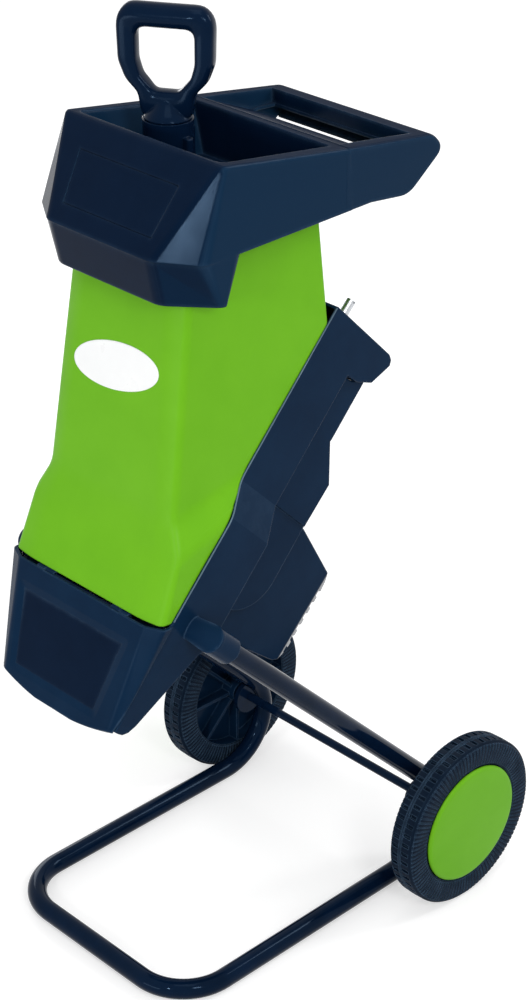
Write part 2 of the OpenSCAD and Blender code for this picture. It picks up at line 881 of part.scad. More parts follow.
// Inside of the funnel from the rim down to the chute, grown by i
module liner(i) {
    stack([
        ring(plan_top(wall - i), rest_z),
        rim_ring([
            [-96 - i, 155 + i], [96 + i, 155 + i], [100 + i, 12 - i], [94 + i, 8 - i],
            [-94 - i, 8 - i], [-100 - i, 12 - i]
        ], i > 0 ? 0.5 : -1)
    ]);
}

module straight(pts, z0, z1) {
    translate([0, 0, z0])
        linear_extrude(height = z1 - z0)
            polygon(pts);
}

// Sunk panel on the front of the hopper
module hopper_panel() {
    translate([0, rim_y, rim_z])
        rotate([atan2(rim_z - belt_z, 58), 0, 0])
            translate([0, 0, -1.4])
                linear_extrude(height = 8)
                    polygon([[-70, -30], [70, -30], [63, -84], [-63, -84]]);
}

module hopper() {
    color(navy)
        difference() {
            union() {
                difference() {
                    bowl_outside(0, 0);
                    bowl_outside(wall, wall);
                }
                difference() {
                    handle_block(0, 0);
                    bridge_recess(0);
                    difference() {
                        translate([0, 0, -1])
                            handle_block(wall, wall - 1);
                        bridge_recess(wall);
                    }
                }
                liner(wall);
                straight(plan_top(-wall - 1), belt_z, rest_z + 2);
            }
            liner(0);
            stack([
                ring(plan_at(belt_z - 60, -0.5), belt_z - 60),
                ring(plan_top(-0.5), chute_top_z + 0.2)
            ]);
            straight(plan_top(wall + 8), chute_top_z - 1, rest_z + 1);
            slot_shape(0);
            hopper_panel();
            hopper_holes(4.2);
        }
}

module hopper_screws() {
    x0 = chute_top_w + wall + 1;
    color(steel)
        both_sides()
            for (y = [rim_y + 30, rim_y + 110]) {
                x_bar(chute_top_w - 6, x0 + 1, 4, y, chute_top_z - 6);
                x_bar(x0 + 0.05, x0 + 3, 8, y, chute_top_z - 6);
            }
}

// Plunger with D grip
module plunger_place() {
    translate([plunger_x, plunger_y, 0])
        children();
}

module plunger_grip() {
    t = grip_top_z;
    a = grip_w / 2;
    base = grip_top_z - 112;
    c = collar_d / 2;
    color(navy)
        plunger_place()
            rotate([0, 0, grip_turn]) {
                translate([0, grip_t / 2, 0])
                    rotate([90, 0, 0])
                        linear_extrude(height = grip_t)
                            difference() {
                                polygon([
                                    [-a, t - 18], [-a + 3, t - 8], [-a + 11, t], [a - 11, t],
                                    [a - 3, t - 8], [a, t - 18], [a - 1, t - 56],
                                    [a - 8, t - 74], [c + 2, t - 88], [c, base], [-c, base],
                                    [-c - 2, t - 88], [-a + 8, t - 74], [-a + 1, t - 56]
                                ]);
                                polygon([
                                    [-a + 20, t - 28], [-a + 24, t - 24], [a - 24, t - 24],
                                    [a - 20, t - 28], [a - 20, t - 56], [a - 24, t - 70],
                                    [12, t - 84], [-12, t - 84], [-a + 24, t - 70],
                                    [-a + 20, t - 56]
                                ]);
                            }
                translate([-a + 13, 0, t - bar_d / 2 - 0.4])
                    rotate([0, 90, 0])
                        cylinder(h = 2 * a - 26, d = bar_d);
                translate([0, 0, base])
                    cylinder(h = 26, r1 = c - 1, r2 = 9);
            }
}

// Stem with collar, four fins, a plate that stops on the ledge of the hopper, and a foot
module plunger_stem() {
    top = grip_top_z - 112 - 0.05;
    half = chute_top_w - wall - 1;
    color(navy) {
        plunger_place() {
            translate([0, 0, top - 30])
                cylinder(h = 30, d = collar_d);
            translate([0, 0, rest_z + 1])
                cylinder(h = top - rest_z - 20, d = collar_d - 16);
            for (k = [0, 90])
                rotate([0, 0, k])
                    translate([-32, -4, rest_z - 110])
                        cube([64, 8, top - 14 - rest_z + 110]);
            translate([-34, -34, rest_z - 118])
                cube([68, 68, 10]);
        }
        translate([-half, plunger_y - 24, rest_z + 0.05])
            cube([2 * half, 48, 5]);
    }
}

// Cutting disc with ejector vanes
module cutting_disc() {
    color(steel)
        difference() {
            union() {
                n_bar(disc_n, disc_n + disc_t, disc_d);
                in_cut()
                    for (k = [0 : 3])
                        rotate([0, 0, k * 90 + 45])
                            translate([42, -2, -(disc_n + disc_t + 18)])
                                cube([disc_d / 2 - 48, 4, 18.5]);
            }
            n_bar(0, 60, shaft_d);
            in_cut()
                for (k = [0, 180])
                    rotate([0, 0, k])
                        translate([28, -14, -60])
                            cube([48, 8, 60]);
            blade_holes(6.4);
        }
}

module blade_holes(d) {
    in_cut()
        for (k = [0, 180])
            rotate([0, 0, k])
                for (x = [36, 68])
                    translate([x, 10, -60])
                        cylinder(h = 80, d = d);
}

module blade_at(k) {
    color(steel)
        difference() {
            in_cut()
                rotate([0, 0, k])
                    translate([25, -6, -disc_n])
                        rotate([90, 0, 90])
                            linear_extrude(height = 56)
                                polygon([[0, 0], [28, 0], [28, 3.5], [5, 3.5]]);
            blade_holes(6.4);
        }
}

module blade_a() {
    blade_at(0);
}

module blade_b() {
    blade_at(180);
}

module blade_screws() {
    color(steel)
        in_cut()
            for (k = [0, 180])
                rotate([0, 0, k])
                    for (x = [36, 68])
                        translate([x, 10, 0]) {
                            translate([0, 0, -disc_n - disc_t - 4])
                                cylinder(h = disc_t + 7.5, d = 6);
                            translate([0, 0, -disc_n + 3.5])
                                cylinder(h = 3, d = 11);
                        }
}

module disc_washer() {
    color(steel)
        difference() {
            n_bar(disc_n - 3, disc_n, 38);
            n_bar(-5, 40, 8.4);
        }
}

module disc_bolt() {
    color(steel) {
        in_cut()
            translate([0, 0, -(disc_n - 3)])
                cylinder(h = 6.5, d = 15, $fn = 6);
        n_bar(disc_n - 3, disc_n + 24, 8);
    }
}

module motor_shaft() {
    color(steel)
        difference() {
            union() {
                n_bar(disc_n + 0.5, can_n1 - 4, shaft_d);
                n_bar(disc_n + disc_t, floor_n - 2, shaft_d + 9);
                n_bar(can_n1 - 4, can_n1 + 14, tail_shaft_d);
            }
            n_bar(disc_n, disc_n + 26, 8.4);
        }
}

module bearing(n0, n1, od, id) {
    difference() {
        n_bar(n0, n1, od);
        n_bar(n0 - 1, n1 + 1, id);
        difference() {
            n_bar(n0 - 1, n0 + 1.5, od - 6);
            n_bar(n0 - 2, n0 + 2, id + 5);
        }
        difference() {
            n_bar(n1 - 1.5, n1 + 1, od - 6);
            n_bar(n1 - 2, n1 + 2, id + 5);
        }
    }
}

module front_bearing() {
    color(steel)
        bearing(floor_n + 4, floor_n + 15, bearing_d, shaft_d + 2 * run_gap);
}

module rear_bearing() {
    color(steel)
        bearing(can_n1 + 2, can_n1 + 11, tail_bearing_d, tail_shaft_d + 2 * run_gap);
}

module motor_can() {
    color(steel)
        difference() {
            n_bar(can_n0, can_n1, can_d - 0.2);
            n_bar(can_n0 - 1, can_n1 + 1, can_d - 6);
            for (k = [0 : 5])
                in_cut()
                    rotate([0, 0, k * 60 + 30])
                        translate([can_d / 2 - 10, -8, -can_n0 - 34])
                            cube([20, 16, 18]);
        }
}

module stator_core() {
    color(steel)
        difference() {
            n_bar(can_n0 + 45, can_n1 - 44, can_d - 6);
            n_bar(can_n0 + 44, can_n1 - 43, rotor_d + 1.6);
            in_cut()
                for (k = [0, 180])
                    rotate([0, 0, k])
                        translate([rotor_d / 2 - 4, -24, -can_n1 + 43])
                            cube([13, 48, can_n1 - can_n0 - 87]);
        }
}

module stator_coils() {
    color(copper)
        in_cut()
            for (k = [0, 180])
                rotate([0, 0, k])
                    translate([rotor_d / 2 + 1.4, -23.5, -can_n1 + 32])
                        cube([7.6, 47, can_n1 - can_n0 - 66]);
}

module rotor_core() {
    color(steel)
        difference() {
            union() {
                n_bar(can_n0 + 47, can_n1 - 46, rotor_d);
                n_bar(can_n0 + 36, can_n1 - 38, rotor_d - 12);
            }
            n_bar(can_n0 + 30, can_n1 - 34, shaft_d + 0.02);
            in_cut()
                for (k = [0 : 11])
                    rotate([0, 0, k * 30])
                        translate([rotor_d / 2 - 3, -1.2, -can_n1 + 44])
                            cube([6, 2.4, can_n1 - can_n0 - 84]);
        }
}

module commutator() {
    color(copper)
        difference() {
            n_bar(can_n1 - 36, can_n1 - 14, 34);
            n_bar(can_n1 - 44, can_n1 - 9, shaft_d + 0.02);
            in_cut()
                for (k = [0 : 17])
                    rotate([0, 0, k * 20])
                        translate([16, -0.4, -can_n1 + 13])
                            cube([3, 0.8, 24]);
        }
}

module cooling_fan() {
    color(black)
        difference() {
            union() {
                n_bar(can_n0 + 16, can_n0 + 32, shaft_d + 10);
                n_bar(can_n0 + 16, can_n0 + 18, can_d - 16);
                in_cut()
                    for (k = [0 : 8])
                        rotate([0, 0, k * 40])
                            translate([shaft_d / 2 + 4, -1, -can_n0 - 30])
                                cube([(can_d - 18) / 2 - shaft_d / 2 - 4, 2, 13]);
            }
            n_bar(can_n0 + 10, can_n0 + 40, shaft_d + 0.02);
        }
}

module brush_holders() {
    color([0.75, 0.6, 0.25])
        intersection() {
            in_cut()
                for (k = [90, 270])
                    rotate([0, 0, k])
                        translate([17.4, -5, -can_n1 + 18])
                            cube([can_d / 2, 10, 12]);
            n_bar(can_n1 - 34, can_n1 - 14, can_d - 6.04);
        }
}

module rear_bracket() {
    color(steel)
        difference() {
            union() {
                n_bar(can_n1, can_n1 + 4, can_d - 0.2);
                n_bar(can_n1, can_n1 + 13, tail_bearing_d + 9);
            }
            n_bar(can_n1 - 1, can_n1 + 3, tail_shaft_d + 6);
            n_bar(can_n1 + 2, can_n1 + 14, tail_bearing_d);
            for (k = [0 : 5])
                in_cut()
                    rotate([0, 0, k * 60])
                        translate([35, 0, -can_n1 - 5])
                            cylinder(h = 8, d = 14);
        }
}

// Rear cover with the sloping control panel and two round cheeks beside the motor
module rear_cover() {
    n0 = pan_n + 0.1;
    color(black)
        difference() {
            union() {
                difference() {
                    cover_outside(0);
                    cover_outside(wall);
                }
                both_sides()
                    cheek();
                both_sides()
                    n_bar(n0, 103, 13, cover_w - 9, 205);
            }
            both_sides()
                n_bar(n0 - 1, 120, 4.4, cover_w - 9, 205);
            on_panel()
                translate([-60, -17, -10])
                    cube([120, 34, 20]);
        }
}

module cheek() {
    n0 = pan_n + 0.1;
    intersection() {
        union() {
            x_bar_tn(motor_w + 0.6, cover_w - 3, 100, 8, 98);
            tn_prism([[8, n0], [90, n0], [90, 138], [74, 145], [8, 148]],
                motor_w + 0.6, cover_w - 3);
        }
        tn_prism([[-60, n0], [120, n0], [120, 200], [-60, 200]], 0, 150);
    }
}

module cover_outside(i) {
    n0 = pan_n + 0.1 - (i > 0 ? 1 : 0);
    tn_prism([
        [cowl_t - 49 - i, n0], [cowl_t - 48.3 - i, 86], [cowl_t - 39.5 - i, 105.5 - i],
        [hump_a[0] - i / 3, hump_a[1] - i],
        [hump_b[0] - i / 3, hump_b[1] - i], [hump_c[0] + i, hump_c[1] - i], [hump_c[0] + i, n0]
    ], -cover_w + i, cover_w - i);
}

module rear_cover_screws() {
    color(steel)
        both_sides() {
            n_bar(floor_n + 8, 108.4, 4, cover_w - 9, 205);
            n_bar(107, 109.8, 8, cover_w - 9, 205);
        }
}

// Motor cover with vent slots in its end and two feet
module motor_cover() {
    n0 = pan_n + 0.1;
    color(black)
        difference() {
            union() {
                difference() {
                    dome(0);
                    dome(wall);
                }
                both_sides()
                    in_cut()
                        translate([motor_w - 2, -67, -n0 - 7])
                            cube([16, 14, 7]);
            }
            vents();
            both_sides()
                n_bar(n0 - 1, n0 + 9, 4.4, motor_w + 8, -60);
        }
}

module dome(i) {
    n0 = pan_n + 0.1 - (i > 0 ? 1 : 0);
    e = motor_end_n - i;
    t1 = hump_c[0] - part_gap - i;
    intersection() {
        tn_prism([
            [t1, n0], [t1, 160], [46 - i, e - 10], [36 - i, e], [-36 + i, e],
            [-50 + i, e - 16], [-60 + i, e - 38], [-66 + i, 170], [-76 + i, n0]
        ], -motor_w + i, motor_w - i);
        xn_prism([
            [-motor_w + i, n0 - 1], [motor_w - i, n0 - 1], [motor_w - i, e - 30],
            [motor_w - 19 - i, e], [-motor_w + 19 + i, e], [-motor_w + i, e - 30]
        ], -150, 150);
    }
}

module vents() {
    for (k = [0 : 5])
        both_sides()
            in_cut()
                translate([10, -44 + k * 14, -motor_end_n - 1])
                    cube([54, 6, 24]);
}

module motor_cover_screws() {
    n1 = pan_n + 7.1;
    color(steel)
        both_sides() {
            n_bar(floor_n + 8, n1 + 1, 4, motor_w + 8, -60);
            n_bar(n1 + 0.05, n1 + 3, 8, motor_w + 8, -60);
        }
}

// Bolts from inside the pan through the sockets into the legs
module leg_bolts() {
    x0 = pan_side(leg_t) - wall - 1;
    color(steel)
        both_sides() {
            x_bar_tn(x0 - 1, rail_x - 4, 5, leg_t, leg_bolt_n);
            x_bar_tn(x0 - 4, x0 - 0.05, 9, leg_t, leg_bolt_n);
        }
}

// Frame of the control panel: origin in the middle of the sloping face, z outwards
module on_panel() {
    mid = (hump_a + hump_b) / 2;
    turn = atan2(hump_b[1] - hump_a[1], hump_a[0] - hump_b[0]);
    in_cut()
        translate([0, mid[0], -mid[1]])
            rotate([180 + turn, 0, 0])
                children();
}

module panel_box(x0, x1, y0, y1, z0, z1) {
    on_panel()
        translate([x0, y0, z0])
            cube([x1 - x0, y1 - y0, z1 - z0]);
}

module switch_plate() {
    color([0.2, 0.2, 0.21])
        difference() {
            panel_box(-66, 66, -22, 22, 0.1, 2.6);
            panel_box(-56, -12, -15, 15, -1, 4);
            panel_box(-2.4, 15.4, -9.4, 9.4, -1, 4);
            panel_box(19.6, 37.4, -9.4, 9.4, -1, 4);
            on_panel()
                translate([49, 0, -1])
                    cylinder(h = 5, d = 10.8);
        }
}

// Switch body behind the two push buttons
module switch_block() {
    color(black)
        difference() {
            panel_box(-8, 42, -14, 14, -26, 0);
            panel_box(-4.5, 38.5, -15, 15, -14, 1);
        }
}

module overload_breaker() {
    color(black)
        difference() {
            panel_box(42.5, 56, -12, 12, -26, 0);
            on_panel()
                translate([49, 0, -14])
                    cylinder(h = 15, d = 11.4);
        }
}

module push_button(x0, x1) {
    panel_box(x0, x1, -9, 9, -9.8, press + 3.5);
    panel_box(x0 - 1.2, x1 + 1.2, -10.5, 10.5, -9.8, -0.4 - press);
}

module start_button() {
    color(green)
        push_button(-2, 15);
}

module stop_button() {
    color([0.8, 0.1, 0.08])
        push_button(20, 37);
}

module reset_button() {
    color([0.12, 0.12, 0.12])
        on_panel()
            translate([49, 0, -9.8])
                cylinder(h = 15, d = 10);
}

module power_inlet() {
    color(black)
        difference() {
            panel_box(-56, -12, -15, 15, -14, 24);
            panel_box(-53, -15, -12, 12, -9, 25);
        }
}

module inlet_pins() {
    color(steel)
        on_panel()
            for (p = [[-42, 5], [-26, 5], [-34, -6]])
                translate([p[0], p[1], -9])
                    cylinder(h = 20, d = 4.8);
}

module safety_switch() {
    n0 = floor_n + wall + 0.05;
    color(black)
        in_cut()
            translate([-60, 200, -n0 - 15])
                cube([28, 20, 15]);
}

module lock_nut() {
    color(steel)
        difference() {
            in_cut()
                translate([lock_x, back_t - 17, -lock_n])
                    rotate([-90, 0, 0])
                        cylinder(h = 10.95, d = 14, $fn = 6);
            t_bar(back_t - 20, back_t, lock_shank_d + 2 * run_gap, lock_x, lock_n);
        }
}

module lock_screw() {
    color(steel) {
        t_bar(back_t - 16, cowl_t + 3, lock_shank_d, lock_x, lock_n);
        difference() {
            t_bar(cowl_t + 2, cowl_t + 24, lock_d, lock_x, lock_n);
            in_cut()
                translate([lock_x - 10, cowl_t + 21.5, -lock_n - 1])
                    cube([20, 5, 2]);
        }
    }
}

module lock_washer() {
    t0 = fork_t + fork_s + 0.5;
    color(steel)
        difference() {
            t_bar(t0, t0 + 2.5, 20, lock_x, lock_n);
            t_bar(t0 - 1, t0 + 4, lock_shank_d + 2 * run_gap, lock_x, lock_n);
        }
}

frame_tube();
axle();
axle_tabs();
axle_caps();
axle_sleeves();
blade_pan();
nose_cover();
hinge_rod();
rear_cover();
rear_cover_screws();
motor_cover();
motor_cover_screws();
motor_can();
stator_core();
stator_coils();
rear_bracket();
front_bearing();
rear_bearing();
brush_holders();
leg_bolts();
switch_plate();
switch_block();
overload_breaker();
power_inlet();
inlet_pins();
safety_switch();
lock_nut();
chute_body();
hopper();
hopper_screws();
label_plate();
latch_fork();
fork_screws();
plunger_grip();
plunger_stem();
cutting_disc();
blade_a();
blade_b();
blade_screws();
disc_washer();
disc_bolt();
motor_shaft();
rotor_core();
commutator();
cooling_fan();
tyre_left();
wheel_core_left();
hubcap_left();
tyre_right();
wheel_core_right();
hubcap_right();
lock_screw();
lock_washer();
start_button();
stop_button();
reset_button();
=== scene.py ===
import json
import math

import bmesh
import bpy
from mathutils import Matrix, Vector
from mathutils.bvhtree import BVHTree


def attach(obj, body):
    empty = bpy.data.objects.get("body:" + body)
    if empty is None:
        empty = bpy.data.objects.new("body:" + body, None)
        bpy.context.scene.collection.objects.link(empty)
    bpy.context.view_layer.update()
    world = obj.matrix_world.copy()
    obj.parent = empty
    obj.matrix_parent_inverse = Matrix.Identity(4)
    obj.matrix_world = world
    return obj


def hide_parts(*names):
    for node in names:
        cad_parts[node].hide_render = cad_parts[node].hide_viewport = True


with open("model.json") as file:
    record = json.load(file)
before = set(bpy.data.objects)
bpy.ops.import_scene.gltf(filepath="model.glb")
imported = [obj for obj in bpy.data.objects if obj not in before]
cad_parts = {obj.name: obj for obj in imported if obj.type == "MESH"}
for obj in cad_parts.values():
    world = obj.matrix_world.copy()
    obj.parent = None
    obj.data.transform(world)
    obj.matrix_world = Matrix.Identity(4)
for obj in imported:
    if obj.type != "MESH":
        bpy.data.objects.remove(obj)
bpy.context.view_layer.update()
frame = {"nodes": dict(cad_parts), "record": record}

scene = bpy.context.scene
scene.view_settings.view_transform = "Standard"

BODY_OF_NODE = {
    node: body
    for body, nodes in frame["record"]["behaviour"]["bodies"].items()
    for node in nodes
}

SIDES = ("left", "right")
MILLIMETRE = 0.001
DIAGONAL = math.sqrt(0.5)

# Plane between chute and pan, at 45 degrees: the place of its middle, in millimetres
CUT_Y, CUT_Z = -284.5, 524.5

# Clearance in millimetres that keeps a rounding hull off the flat faces of its node
SLACK = 0.02

# Colours as they show under plain light
GREEN = (0.143, 0.432, 0.0085)
GREEN_SHADE = (0.130, 0.405, 0.0075)
GREEN_PALE = (0.205, 0.520, 0.0380)
NAVY = (0.0018, 0.0084, 0.0262)
NAVY_SHADE = (0.0012, 0.0064, 0.0210)
# Paler navy painted on faces that look sideways: painted side light
NAVY_PAINTED_SIDE_LIGHT = (0.0048, 0.0210, 0.0510)
# Pale band on rounded edges: partly rub wear, partly painted highlight
NAVY_PALE = (0.0420, 0.0820, 0.1450)
BLACK = (0.0042, 0.0186, 0.0480)
BLACK_SHADE = (0.0030, 0.0140, 0.0380)
RUBBER = (0.0030, 0.0080, 0.0190)
RUBBER_SHADE = (0.0018, 0.0052, 0.0130)
# Pale tread edges: partly scuff wear, partly painted highlight
RUBBER_PALE = (0.0600, 0.1100, 0.1800)
DUST = (0.0900, 0.1150, 0.1400)
ENAMEL = (0.0020, 0.0090, 0.0280)
ENAMEL_SHADE = (0.0012, 0.0060, 0.0190)
ENAMEL_PALE = (0.0300, 0.0520, 0.0820)
BLUE_SHEEN = (0.40, 0.66, 1.0, 1.0)
WHITE_SHEEN = (1.0, 1.0, 1.0, 1.0)


def add(tree, kind, inputs=None, **settings):
    """New node with its settings and the values of its inputs."""
    made = tree.nodes.new(kind)
    for key, value in settings.items():
        setattr(made, key, value)
    for key, value in (inputs or {}).items():
        made.inputs[key].default_value = value
    return made


def join(tree, source, target):
    tree.links.new(source, target)


def effect_group(name, inputs, outputs):
    """Empty shader group with named values in and out."""
    group = bpy.data.node_groups.new(name, "ShaderNodeTree")
    for label, value in inputs:
        socket = group.interface.new_socket(label, in_out="INPUT", socket_type="NodeSocketFloat")
        socket.default_value = value
    for label, kind in outputs:
        group.interface.new_socket(label, in_out="OUTPUT", socket_type=kind)
    return group, add(group, "NodeGroupInput"), add(group, "NodeGroupOutput")


def place_group(tree, group, **values):
    made = add(tree, "ShaderNodeGroup", node_tree=group)
    for label, value in values.items():
        made.inputs[label.replace("_", " ")].default_value = value
    return made


def math_node(tree, operation, first, second):
    """Math node whose two inputs are sockets or plain numbers."""
    made = add(tree, "ShaderNodeMath", operation=operation)
    for place, value in enumerate((first, second)):
        if isinstance(value, (int, float)):
            made.inputs[place].default_value = value
        else:
            join(tree, value, made.inputs[place])
    return made.outputs[0]


def spread(tree, value, low, high, out_low, out_high):
    """Value moved from one range to another, held at both ends."""
    made = add(tree, "ShaderNodeMapRange")
    join(tree, value, made.inputs["Value"])
    for label, number in (
        ("From Min", low), ("From Max", high), ("To Min", out_low), ("To Max", out_high)
    ):
        made.inputs[label].default_value = number
    return made.outputs["Result"]


def blend_colour(tree, share, first, second):
    """Colour between two, by a share socket; each colour is a socket or a plain colour."""
    made = add(tree, "ShaderNodeMix", data_type="RGBA")
    share_in, first_in, second_in, colour_out = 0, 6, 7, 2
    join(tree, share, made.inputs[share_in])
    for place, value in ((first_in, first), (second_in, second)):
        if isinstance(value, tuple):
            made.inputs[place].default_value = (*value, 1)
        else:
            join(tree, value, made.inputs[place])
    return made.outputs[colour_out]


def object_points(tree):
    return add(tree, "ShaderNodeTexCoord").outputs["Object"]


def noise(tree, points, scale, detail=2.0, rough=0.5):
    made = add(tree, "ShaderNodeTexNoise", {"Detail": detail, "Roughness": rough})
    join(tree, points, made.inputs["Vector"])
    if isinstance(scale, (int, float)):
        made.inputs["Scale"].default_value = scale
    else:
        join(tree, scale, made.inputs["Scale"])
    return made.outputs["Fac"]


def make_mould_grain():
    """Fine spark-eroded skin of a moulding, and the slow cloudiness of its colour."""
    group, given, out = effect_group(
        "mould_grain",
        [("Grain scale", 1300.0), ("Cloud scale", 16.0)],
        [("Height", "NodeSocketFloat"), ("Cloud", "NodeSocketFloat")],
    )
    points = object_points(group)
    fine = noise(group, points, given.outputs["Grain scale"], 2.0, 0.6)
    cells = add(group, "ShaderNodeTexVoronoi", {"Smoothness": 0.6}, feature="SMOOTH_F1")
    join(group, points, cells.inputs["Vector"])
    join(group, math_node(group, "MULTIPLY", given.outputs["Grain scale"], 0.55), cells.inputs["Scale"])
    join(group, math_node(group, "ADD", fine, cells.outputs["Distance"]), out.inputs["Height"])
    cloud = noise(group, points, given.outputs["Cloud scale"], 5.0, 0.62)
    join(group, spread(group, cloud, 0.32, 0.68, 0.0, 1.0), out.inputs["Cloud"])
    return group


def make_soft_edges():
    """Small rounding of every edge, and a pale band along it that is partly rub wear and partly painted
    highlight.
    """
    group, given, out = effect_group(
        "soft_edges",
        [("Radius", 0.0012), ("Band", 0.0020), ("Rub", 0.5)],
        [("Normal", "NodeSocketVector"), ("Mask", "NodeSocketFloat")],
    )
    bevel = add(group, "ShaderNodeBevel", samples=6)
    join(group, given.outputs["Radius"], bevel.inputs["Radius"])
    join(group, bevel.outputs["Normal"], out.inputs["Normal"])
    wide = add(group, "ShaderNodeBevel", samples=6)
    join(group, given.outputs["Band"], wide.inputs["Radius"])
    flat = add(group, "ShaderNodeNewGeometry").outputs["True Normal"]
    dot = add(group, "ShaderNodeVectorMath", operation="DOT_PRODUCT")
    join(group, wide.outputs["Normal"], dot.inputs[0])
    join(group, flat, dot.inputs[1])
    turned = spread(group, dot.outputs["Value"], 0.985, 0.86, 0.0, 1.0)
    patch = spread(group, noise(group, object_points(group), 55.0, 5.0, 0.65), 0.40, 0.62, 0.50, 1.0)
    # Pale edge mask: partly rub wear, partly painted highlight along rounded edges
    rub_and_highlight_share = math_node(group, "MULTIPLY", turned, patch)
    join(group, math_node(group, "MULTIPLY", rub_and_highlight_share, given.outputs["Rub"]), out.inputs["Mask"])
    return group


def make_settled_dust():
    """Thin dust on faces that look up, in soft patches."""
    group, given, out = effect_group(
        "settled_dust", [("Amount", 0.1)], [("Mask", "NodeSocketFloat")]
    )
    facing = add(group, "ShaderNodeSeparateXYZ")
    join(group, add(group, "ShaderNodeNewGeometry").outputs["Normal"], facing.inputs[0])
    up = spread(group, facing.outputs["Z"], 0.35, 0.95, 0.0, 1.0)
    points = object_points(group)
    patch = spread(group, noise(group, points, 26.0, 6.0, 0.62), 0.42, 0.70, 0.0, 1.0)
    speck = spread(group, noise(group, points, 900.0, 1.0, 0.5), 0.45, 0.66, 0.35, 1.0)
    mask = math_node(group, "MULTIPLY", math_node(group, "MULTIPLY", up, patch), speck)
    join(group, math_node(group, "MULTIPLY", mask, given.outputs["Amount"]), out.inputs["Mask"])
    return group


def make_drawn_lines():
    """Fine lines along one direction, as on turned, drawn or brushed metal."""
    group, given, out = effect_group(
        "drawn_lines",
        [("Along X", 8.0), ("Along Y", 900.0), ("Along Z", 900.0)],
        [("Height", "NodeSocketFloat"), ("Streak", "NodeSocketFloat")],
    )
    stretch = add(group, "ShaderNodeCombineXYZ")
    for axis in "XYZ":
        join(group, given.outputs["Along " + axis], stretch.inputs[axis])
    scaled = add(group, "ShaderNodeVectorMath", operation="MULTIPLY")
    join(group, object_points(group), scaled.inputs[0])
    join(group, stretch.outputs[0], scaled.inputs[1])
    lines = noise(group, scaled.outputs["Vector"], 1.0, 3.0, 0.6)
    join(group, lines, out.inputs["Height"])
    join(group, spread(group, lines, 0.3, 0.7, 0.0, 1.0), out.inputs["Streak"])
    return group


MOULD_GRAIN = make_mould_grain()
SOFT_EDGES = make_soft_edges()
SETTLED_DUST = make_settled_dust()
DRAWN_LINES = make_drawn_lines()


def new_finish(name):
    made = bpy.data.materials.new(name)
    made.use_nodes = True
    tree = made.node_tree
    tree.nodes.clear()
    shader = add(tree, "ShaderNodeBsdfPrincipled")
    join(tree, shader.outputs[0], add(tree, "ShaderNodeOutputMaterial").inputs["Surface"])
    return made, tree, shader


def roughen(tree, shader, height, strength, depth, rounded):
    """Bump from a height, laid over the rounded edges."""
    bump = add(tree, "ShaderNodeBump", {"Strength": strength, "Distance": depth})
    join(tree, height, bump.inputs["Height"])
    join(tree, rounded, bump.inputs["Normal"])
    join(tree, bump.outputs[0], shader.inputs["Normal"])


def moulded_finish(name, colour, shade, pale, rough, gloss, grain=1300.0, depth=0.00005,
                   strength=0.25, radius=0.0012, band=0.0020, rub_and_highlight=0.35, dust=0.10, cloud=16.0,
                   sheen=BLUE_SHEEN, painted_side_light=None):
    """Moulded plastic or rubber: cloudy colour, fine skin, pale edges of rub wear and painted highlight, and
    a little dust.

    With a painted side light colour, faces that look sideways take it as painted light, and faces that look
    up are dull.
    """
    made, tree, shader = new_finish(name)
    skin = place_group(tree, MOULD_GRAIN, Grain_scale=grain, Cloud_scale=cloud)
    edges = place_group(tree, SOFT_EDGES, Radius=radius, Band=band, Rub=rub_and_highlight)
    film = place_group(tree, SETTLED_DUST, Amount=dust)
    tint = blend_colour(tree, skin.outputs["Cloud"], shade, colour)
    # Faces that look sideways are painted paler: painted side light
    if painted_side_light:
        facing = add(tree, "ShaderNodeSeparateXYZ")
        join(tree, edges.outputs["Normal"], facing.inputs[0])
        across = math_node(tree, "ABSOLUTE", facing.outputs["X"], 0.0)
        tint = blend_colour(tree, spread(tree, across, 0.45, 0.92, 0.0, 1.0), tint, painted_side_light)
    # Edges take the pale colour as rub wear and as painted highlight
    tint = blend_colour(tree, edges.outputs["Mask"], tint, pale)
    tint = blend_colour(tree, film.outputs["Mask"], tint, DUST)
    join(tree, tint, shader.inputs["Base Color"])
    dull = spread(tree, skin.outputs["Cloud"], 0.0, 1.0, rough + 0.05, rough - 0.04)
    if painted_side_light:
        on_top = spread(tree, facing.outputs["Z"], 0.80, 0.96, 0.0, 0.62)
        dull = math_node(tree, "MAXIMUM", dull, on_top)
    join(tree, dull, shader.inputs["Roughness"])
    shader.inputs["Specular IOR Level"].default_value = gloss
    shader.inputs["Specular Tint"].default_value = sheen
    roughen(tree, shader, skin.outputs["Height"], strength, depth, edges.outputs["Normal"])
    return made


def metal_finish(name, colour, shade, rough, lines, depth=0.00003, radius=0.0005):
    """Bare metal with fine lines along its length and slightly uneven sheen."""
    made, tree, shader = new_finish(name)
    along = place_group(tree, DRAWN_LINES, Along_X=lines[0], Along_Y=lines[1], Along_Z=lines[2])
    edges = place_group(tree, SOFT_EDGES, Radius=radius, Band=0.0008, Rub=0.6)
    skin = place_group(tree, MOULD_GRAIN, Grain_scale=700.0, Cloud_scale=40.0)
    tint = blend_colour(tree, along.outputs["Streak"], shade, colour)
    bright = tuple(min(1.0, 1.15 * part + 0.03) for part in colour)
    tint = blend_colour(tree, edges.outputs["Mask"], tint, bright)
    join(tree, tint, shader.inputs["Base Color"])
    shader.inputs["Metallic"].default_value = 1.0
    join(tree, spread(tree, skin.outputs["Cloud"], 0.0, 1.0, rough - 0.06, rough + 0.08),
         shader.inputs["Roughness"])
    roughen(tree, shader, along.outputs["Height"], 0.25, depth, edges.outputs["Normal"])
    return made


